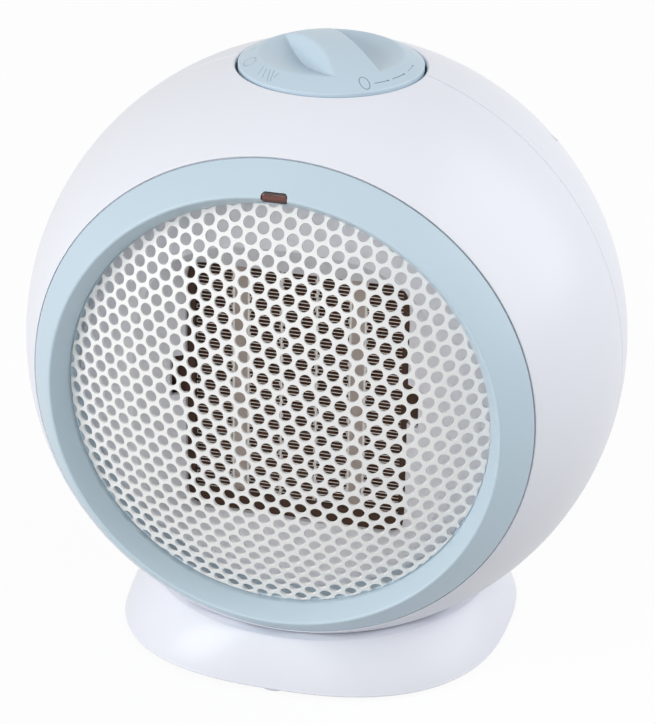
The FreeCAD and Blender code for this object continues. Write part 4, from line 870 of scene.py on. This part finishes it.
def knobEdge():  # from the rim over its rounded edge, down the skirt and up inside
    k = knob
    flatRim = k["radius"] - k["edgeRound"]
    rimZ = float(knobHeight(np.array([flatRim]), np.array([0.0]))[0])
    lean = math.asin(flatRim / k["crown"])
    edge = []
    for turn in np.linspace(lean, math.pi / 2, 7)[1:]:
        out = (math.sin(turn) - math.sin(lean)) / (1 - math.sin(lean))
        drop = k["edgeRound"] * (math.cos(lean) - math.cos(turn))
        edge.append((flatRim + k["edgeRound"] * out, rimZ - drop))
    inner = k["radius"] - k["skirtWall"]
    corner = k["skirtEdge"]
    edge += [(k["radius"], k["skirtFoot"] + corner), (k["radius"] - corner, k["skirtFoot"])]
    return edge + [(inner, k["skirtFoot"]), (inner, k["ceiling"])]


def makeKnob():
    k = knob
    flatRim = k["radius"] - k["edgeRound"]
    count = k["lines"]
    even = np.linspace(-1, 1, count + 1)
    us = flatRim * (k["crowding"] * np.sin(even * math.pi / 2) + (1 - k["crowding"]) * even)
    points, faces, index = [], [], {}
    for i, u in enumerate(us):
        reach = math.sqrt(max(flatRim ** 2 - u * u, 0))
        single = i in (0, count)
        for j, t in enumerate(even):
            if single and j:
                index[i, j] = index[i, 0]
                continue
            index[i, j] = len(points)
            points.append((u, t * reach, 0.0))
    for i in range(count):
        for j in range(count):
            corner = (index[i, j], index[i + 1, j], index[i + 1, j + 1], index[i, j + 1])
            face = list(dict.fromkeys(corner))
            if len(face) > 2:
                faces.append(face)
    flat = np.array(points)
    flat[:, 2] = knobHeight(flat[:, 0], flat[:, 1])
    points = flat.tolist()
    last = [index[i, 0] for i in range(count + 1)] + [index[i, count] for i in range(count - 1, 0, -1)]
    outline = flat[last, :2]
    ways = outline / np.hypot(outline[:, 0], outline[:, 1])[:, None]
    size = len(last)
    for radius, z in knobEdge():
        ring = list(range(len(points), len(points) + size))
        points += [(x * radius, y * radius, z) for x, y in ways]
        faces += [[last[j], last[(j + 1) % size], ring[(j + 1) % size], ring[j]] for j in range(size)]
        last = ring
    faces.append(list(last))
    across = Vector((math.cos(k["turn"]), math.sin(k["turn"]), 0))
    along = Vector((across.y, -across.x, 0))
    turned = [tuple(across * u + along * v + Vector((0, 0, z))) for u, v, z in points]
    piece = meshPiece("controlKnob", turned, faces)
    soften(piece, 38)
    handIn(piece, "knob", "knob_blue", "control_knob", finish=made["knobBlue"])


marks = {"lift": 0.05, "sides": 6, "dot": 0.2, "dotHalf": 0.19}
darkMarks = {  # degrees round the dial and distances from its middle
    "half": 0.15, "rings": [(-51.4, 30.5, 2.75, 1.8)], "dots": [(-33.6, 31.4), (-16.6, 31.3), (0.4, 30.9)],
    "lines": [((-44.6, 31.3), (-34.2, 31.4)), ((-29.5, 31.3), (-17.2, 31.3))],
}
paleMarks = {
    "half": 0.19, "rings": [(-152.0, 30.6, 2.2, 3.0)], "dots": [],
    "lines": [
        ((-10.6, 31.1), (-0.4, 30.9)), ((-134.1, 28.4), (-130.2, 32.3)), ((-129.3, 28.8), (-124.1, 32.8)),
        ((-125.6, 28.3), (-118.6, 33.2)), ((-121.5, 28.1), (-116.6, 32.9)), ((-116.2, 28.6), (-116.4, 31.0)),
        ((-176.0, 30.9), (-177.2, 28.6))],
}


def ribbon(path, half, closed):  # a raised line on the dome, path in x and y
    path = np.asarray(path, float)
    ahead = np.roll(path, -1, 0) - np.roll(path, 1, 0)
    if not closed:
        ahead[0], ahead[-1] = path[1] - path[0], path[-1] - path[-2]
    ahead /= np.linalg.norm(ahead, axis=1)[:, None]
    side = np.stack([-ahead[:, 1], ahead[:, 0]], 1)
    points, faces = [], []
    profile = [(math.cos(a), math.sin(a)) for a in np.linspace(math.pi, 0, marks["sides"])]
    profile = [(-1, -1.0)] + profile + [(1, -1.0)]
    for spot, way in zip(path, side):
        for across, up in profile:
            x, y = spot + way * half * across
            points.append((x, y, knobDome(math.hypot(x, y)) + marks["lift"] * up))
    size = len(profile)
    count = len(path)
    for k in range(count if closed else count - 1):
        faces += band(k * size, (k + 1) % count * size, size)
    if not closed:
        faces += [list(range(size)), list(range((count - 1) * size, count * size))]
    return points, faces


def onDial(angle, radius):  # degrees round the dial, 0 to the right and 90 to the back
    a = math.radians(angle)
    return (radius * math.cos(a), radius * math.sin(a))


def ringPath(angle, radius, deep, wide, count=28):  # an upright oval, deep along the dial's radius
    out = Vector(onDial(angle, 1.0))
    aside = Vector((-out.y, out.x))
    return [tuple(out * (radius + deep * math.cos(a)) + aside * (wide * math.sin(a)))
            for a in np.linspace(0, 2 * math.pi, count, endpoint=False)]


def makeMarks(name, look, mat):
    strokes = []
    for (startTurn, startOut), (endTurn, endOut) in look["lines"]:
        steps = zip(np.linspace(startTurn, endTurn, 8), np.linspace(startOut, endOut, 8))
        strokes.append(([onDial(turn, out) for turn, out in steps], look["half"], False))
    for ring in look["rings"]:
        strokes.append((ringPath(*ring), look["half"], True))
    for angle, radius in look["dots"]:
        strokes.append((ringPath(angle, radius, marks["dot"], marks["dot"], 10), marks["dotHalf"], True))
    points, faces = [], []
    for path, half, closed in strokes:
        newPoints, newFaces = ribbon(path, half, closed)
        first = len(points)
        points += newPoints
        faces += [[v + first for v in face] for face in newFaces]
    piece = meshPiece(name, points, faces)
    soften(piece, 50)
    handIn(piece, "knob", "knob_blue", finish=mat)


makeKnob()
makeMarks("dialMarks", darkMarks, made["markGrey"])
makeMarks("dialFaint", paleMarks, made["markPale"])
print("control knob made")


base = {
    "crest": 67.3, "crestZ": -96.8, "foot": (76.2, 73.3), "footZ": -116.4, "footReach": 0.6,
    "fullness": 1.25, "squareness": 2.5, "levels": 30, "edge": 0.6, "wall": 2.5, "steps": 192,
    "saddle": 115.05, "bore": 40.0, "boreCut": (-90.0, -125.0),
}


def baseLevel(share, z, inset):  # one oval of the base, share 0 at the round crest and 1 at the squarer foot
    b = base
    wide, deep = (b["crest"] + (half - b["crest"]) * share - inset for half in b["foot"])
    turns = np.linspace(0, 2 * math.pi, b["steps"], endpoint=False)
    away = squared((wide, deep), 2 + (b["squareness"] - 2) * share, turns)
    y = away * np.sin(turns) - b["footReach"] * share
    return np.stack([away * np.cos(turns), y, np.full(len(turns), z)], 1).tolist()


def ovalBody(name, levels):  # a stack of ovals, closed at both ends
    steps = base["steps"]
    points = [spot for level in levels for spot in baseLevel(*level)]
    faces = [list(range(steps)), list(range(len(points) - steps, len(points)))]
    for low in range(0, len(points) - steps, steps):
        faces += band(low, low + steps, steps)
    return meshPiece(name, points, faces)


def baseFlank(inset, drop):  # from the crest down and out to the foot, a little fuller than straight
    b = base
    tall = b["crestZ"] - b["footZ"]
    power = 2 / b["fullness"]
    turns = np.linspace(0, math.pi / 2, b["levels"] + 1)
    return [(math.sin(t) ** power, b["footZ"] - drop + tall * math.cos(t) ** power, inset) for t in turns]


def makeBase():
    b = base
    edge, floor = b["edge"], b["footZ"]
    outer = [level for level in baseFlank(0.0, 0.0) if level[1] > floor + edge]
    outer += [(1.0, floor + edge, 0.0), (1.0, floor + 0.3 * edge, 0.3 * edge), (1.0, floor, edge)]
    piece = ovalBody("baseShell", outer)
    hollow = ovalBody("baseHollow", baseFlank(b["wall"], b["wall"]))
    carve(hollow, ballTool("saddleBack", b["saddle"] + b["wall"], 128, 64))
    carve(piece, hollow)
    carve(piece, ballTool("saddleFace", b["saddle"], 192, 96))
    carve(piece, spindle("saddleBore", plug(b["bore"], *b["boreCut"])))
    soften(piece, 40)
    handIn(piece, "housing", "base_white", "base_shell", finish=made["baseGloss"])


def setOut(name, part, spots, mat, turnStep):
    piece = grow(name, setOutTree, {"Part": part, "Turn Step": turnStep, "Finish": mat}, inFrame(spots))
    bpy.data.objects.remove(part)
    soften(piece, 40)
    return piece


def partMesh(name, profile, steps):  # a turned part at the origin, in metres
    points, faces = lathe(profile, steps, "Z", closed=False)
    return placed(name, points * millimetre, faces)


foot = {
    "radius": 6.0, "height": 1.6, "stem": 2.4, "stemLength": 2.0, "edge": 0.5, "topEdge": 0.3, "rib": 0.25,
    "ribRing": (4.0, 3.7, 3.2, 2.9), "across": 67.3, "along": 62.8, "forward": 3.5,
}


def makeFeet():
    f = foot
    sole = -f["height"]
    pad = rounded([(f["radius"], 0, f["topEdge"]), (f["radius"], sole, f["edge"]), (0, sole, 0)], 4)
    profile = [(0, f["stemLength"]), (f["stem"], f["stemLength"]), (f["stem"], 0)] + pad[:-1]
    depths = (0.0, f["rib"], f["rib"], 0.0)
    profile += [(radius, sole + deep) for radius, deep in zip(f["ribRing"], depths)] + [(0, sole)]
    ways = ((f["across"], 0), (0, f["along"]), (-f["across"], 0), (0, -f["along"]))
    spots = [(x, y - f["forward"], base["footZ"]) for x, y in ways]
    piece = setOut("rubberFeet", partMesh("footPart", profile, 40), spots, made["footRubber"], 0.0)
    handIn(piece, "housing", "foot_rubber", "rubber_feet")


screw = {
    "head": 3.1, "headHigh": 1.7, "shank": 1.5, "point": 1.2, "recess": 1.0, "cross": 0.42,
    "crossReach": 1.75, "baseSpot": (34.0, 30.0), "baseSeat": -114.5, "baseTurn": 0.7, "seamLength": 24.0,
}


def screwPart(name, length):  # pan head below the seat at z 0, shank upwards, with a cross recess
    s = screw
    dome = [(s["head"], 0), (s["head"], -0.45 * s["headHigh"])]
    dome += [(s["head"] * math.cos(a) * 0.98, -s["headHigh"] * (0.45 + 0.55 * math.sin(a)))
             for a in np.radians((20, 40, 60, 78))]
    profile = [(0, length), (s["shank"] * 0.6, length), (s["shank"], length - s["point"]), (s["shank"], 0)]
    part = partMesh(name, profile + dome + [(0, -s["headHigh"])], 28)
    for wide, deep in ((s["crossReach"], s["cross"]), (s["cross"], s["crossReach"])):
        size = [2 * side * millimetre for side in (wide, deep, s["recess"])]
        work = bmesh.new()
        bmesh.ops.create_cube(work, size=1.0, matrix=Matrix.Diagonal((*size, 1)))
        bmesh.ops.translate(work, verts=work.verts, vec=(0, 0, -s["headHigh"] * millimetre))
        mesh = bpy.data.meshes.new("crossArm")
        work.to_mesh(mesh)
        work.free()
        arm = bpy.data.objects.new("crossArm", mesh)
        scene.collection.objects.link(arm)
        carve(part, arm)
    return part


def makeScrews():
    s = screw
    wide, deep = s["baseSpot"]
    spots = [(sx * wide, sy * deep, s["baseSeat"]) for sx, sy in fourWays]
    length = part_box("base_screws")[1][2] / millimetre - ballCentre.z - s["baseSeat"]
    piece = setOut("baseScrews", screwPart("baseScrewPart", length), spots, made["screwZinc"], s["baseTurn"])
    handIn(piece, "housing", "screw_steel", "base_screws")
    part = screwPart("seamScrewPart", s["seamLength"])
    part.data.transform(Matrix.Rotation(math.radians(90), 4, "X"))
    spots = [(x, seamWell["seat"], z) for x, z in seamSpots]
    piece = setOut("seamScrews", part, spots, made["screwZinc"], 0.0)
    handIn(piece, "housing", "screw_steel", "shell_screws")


def makeGland():
    g = gland
    inside = ballRadius - shell["wall"] - g["play"]
    low = inside - g["flangeThick"]
    top = ballRadius + g["flangeThick"]
    end = ballRadius + g["collar"]
    step = ballRadius + g["play"]
    profile = rounded([
        (g["sleeve"], low, 0.3), (g["stem"], low, 0.3), (g["stem"] + g["barb"], inside, 0.2),
        (g["stem"], inside, 0), (g["stem"], ballRadius, 0), (g["flange"], ballRadius, 0),
        (g["flange"], top, 0.8), (g["stem"] + 0.1, top, 0.6), (g["stem"] - 0.3, end, 0.9),
        (g["bore"], end, 0.8), (g["bore"], step, 0), (g["sleeve"], step, 0)])
    points, faces = lathe(profile, 64, "Z")
    piece = meshPiece("cordInlet", alongGland(points), faces)
    soften(piece, 35)
    handIn(piece, "housing", "gland_white", "cable_gland", finish=made["glandWhite"])


makeBase()
makeFeet()
makeScrews()
makeGland()
print("base, feet, screws and cord inlet made")


carried = {
    "indicator_lamp": "lampGlass", "knob_well": "baffleWhite", "heater_frame": "frameBrown",
    "ceramic_bars": "heaterCeramic", "electrode_plates": "finStrip", "fin_dividers": "finStrip",
    "heater_fins": "finStrip", "thermal_cutout": "cutoutBlack", "fan_shroud": "ductGrey",
    "motor_bracket": "motorSteel", "motor_can": "motorSteel", "motor_bushes": "bushBronze",
    "motor_shaft": "motorSteel", "fan_impeller": "fanBlack", "switch_spindle": "spindleBrass",
    "rotary_switch": "switchBlack", "base_plate": "plateGrey", "shroud_screws": "screwZinc",
}
for node, name in carried.items():
    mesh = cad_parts[node].data
    mesh.materials.clear()
    mesh.materials.append(made[name])
print("carried-over solids dressed:", len(carried))


stageLook = {
    "floorSize": 8.0, "floorBounce": 0.42, "floorWhite": 0.96, "showThrough": 0.93,
    "worldLight": 0.45, "worldTint": (0.97, 0.98, 1.0, 1.0), "white": (1.0, 1.0, 1.0, 1.0),
}
lamps = {
    "keyPanel": {"at": (-1.7, -1.5, 0.8), "size": 1.2, "power": 25.0, "tint": (1.0, 1.0, 1.0)},
    "frontPanel": {"at": (-0.1, -2.15, 0.75), "size": 1.0, "power": 11.0, "tint": (1.0, 1.0, 1.0)},
    "sidePanel": {"at": (1.75, 0.5, 1.2), "size": 2.0, "power": 27.0, "tint": (0.97, 0.98, 1.0)},
}
photoView = {
    "azimuth": 15.3, "elevation": 24.6, "roll": 0.93, "yaw": -0.02, "pitch": -0.55,
    "distance": 1.15, "focal": 2992.0, "high": 724.0, "sensor": 36.0,
}


def cameraWhite(tree):  # 1 where a camera, glossy or transmission ray looks
    path = add(tree, "ShaderNodeLightPath").outputs
    first = calc(tree, "MAXIMUM", path["Is Camera Ray"], path["Is Glossy Ray"])
    return calc(tree, "MAXIMUM", first, path["Is Transmission Ray"])


def either(tree, share, first, second):  # one shader into another
    pick = add(tree, "ShaderNodeMixShader", {"Fac": share})
    tree.links.new(first.outputs[0], pick.inputs[1])
    tree.links.new(second.outputs[0], pick.inputs[2])
    return pick


def makeFloor():
    half = stageLook["floorSize"] / 2
    floor = placed("studioFloor", [(sx * half, sy * half, 0) for sx, sy in fourWays], [[0, 1, 2, 3]])
    mat = bpy.data.materials.new("paleFloor")
    mat.use_nodes = True
    tree = mat.node_tree
    tree.nodes.remove(tree.nodes["Principled BSDF"])
    low, high = stageLook["floorBounce"], stageLook["floorWhite"]
    matt = add(tree, "ShaderNodeBsdfDiffuse", {"Color": (low, low, low, 1.0)})
    pale = add(tree, "ShaderNodeBsdfDiffuse", {"Color": (high, high, high, 1.0)})
    glow = add(tree, "ShaderNodeEmission", {"Color": stageLook["white"], "Strength": 1.0})
    seen = either(tree, stageLook["showThrough"], pale, glow)
    shown = either(tree, cameraWhite(tree), matt, seen)
    tree.links.new(shown.outputs[0], tree.nodes["Material Output"].inputs["Surface"])
    floor.data.materials.append(mat)


def makeWorld():
    world = bpy.data.worlds.new("studio")
    world.use_nodes = True
    scene.world = world
    tree = world.node_tree
    soft = tree.nodes["Background"]
    soft.inputs["Color"].default_value = stageLook["worldTint"]
    soft.inputs["Strength"].default_value = stageLook["worldLight"]
    white = add(tree, "ShaderNodeBackground", {"Color": stageLook["white"], "Strength": 1.0})
    shown = either(tree, cameraWhite(tree), soft, white)
    tree.links.new(shown.outputs[0], tree.nodes["World Output"].inputs["Surface"])


def makeLamps():
    for name, look in lamps.items():
        light = bpy.data.lights.new(name, "AREA")
        light.shape = "SQUARE"
        light.size = look["size"]
        light.energy = look["power"]
        light.color = look["tint"]
        lamp = bpy.data.objects.new(name, light)
        lamp.location = look["at"]
        lamp.rotation_euler = (ballMiddle - lamp.location).to_track_quat("-Z", "Y").to_euler()
        scene.collection.objects.link(lamp)


def makeCamera():
    v = photoView
    turn, rise = math.radians(v["azimuth"]), math.radians(v["elevation"])
    back = Vector((math.sin(turn) * math.cos(rise), -math.cos(turn) * math.cos(rise), math.sin(rise)))
    right = Vector((math.cos(turn), math.sin(turn), 0))
    up = back.cross(right)
    place = ballMiddle + back * v["distance"]
    spin = Matrix.Rotation(math.radians(v["yaw"]), 3, up)
    right, back = spin @ right, spin @ back
    spin = Matrix.Rotation(math.radians(v["pitch"]), 3, right)
    up, back = spin @ up, spin @ back
    spin = Matrix.Rotation(math.radians(v["roll"]), 3, back)
    right, up = spin @ right, spin @ up
    data = bpy.data.cameras.new("photoCamera")
    data.sensor_fit = "VERTICAL"
    data.sensor_height = v["sensor"]
    data.lens = v["focal"] / v["high"] * v["sensor"]
    camera = bpy.data.objects.new("photoCamera", data)
    camera.matrix_world = Matrix.Translation(place) @ Matrix((right, up, back)).transposed().to_4x4()
    scene.collection.objects.link(camera)
    scene.camera = camera


makeFloor()
makeWorld()
makeLamps()
makeCamera()
print("stage set")
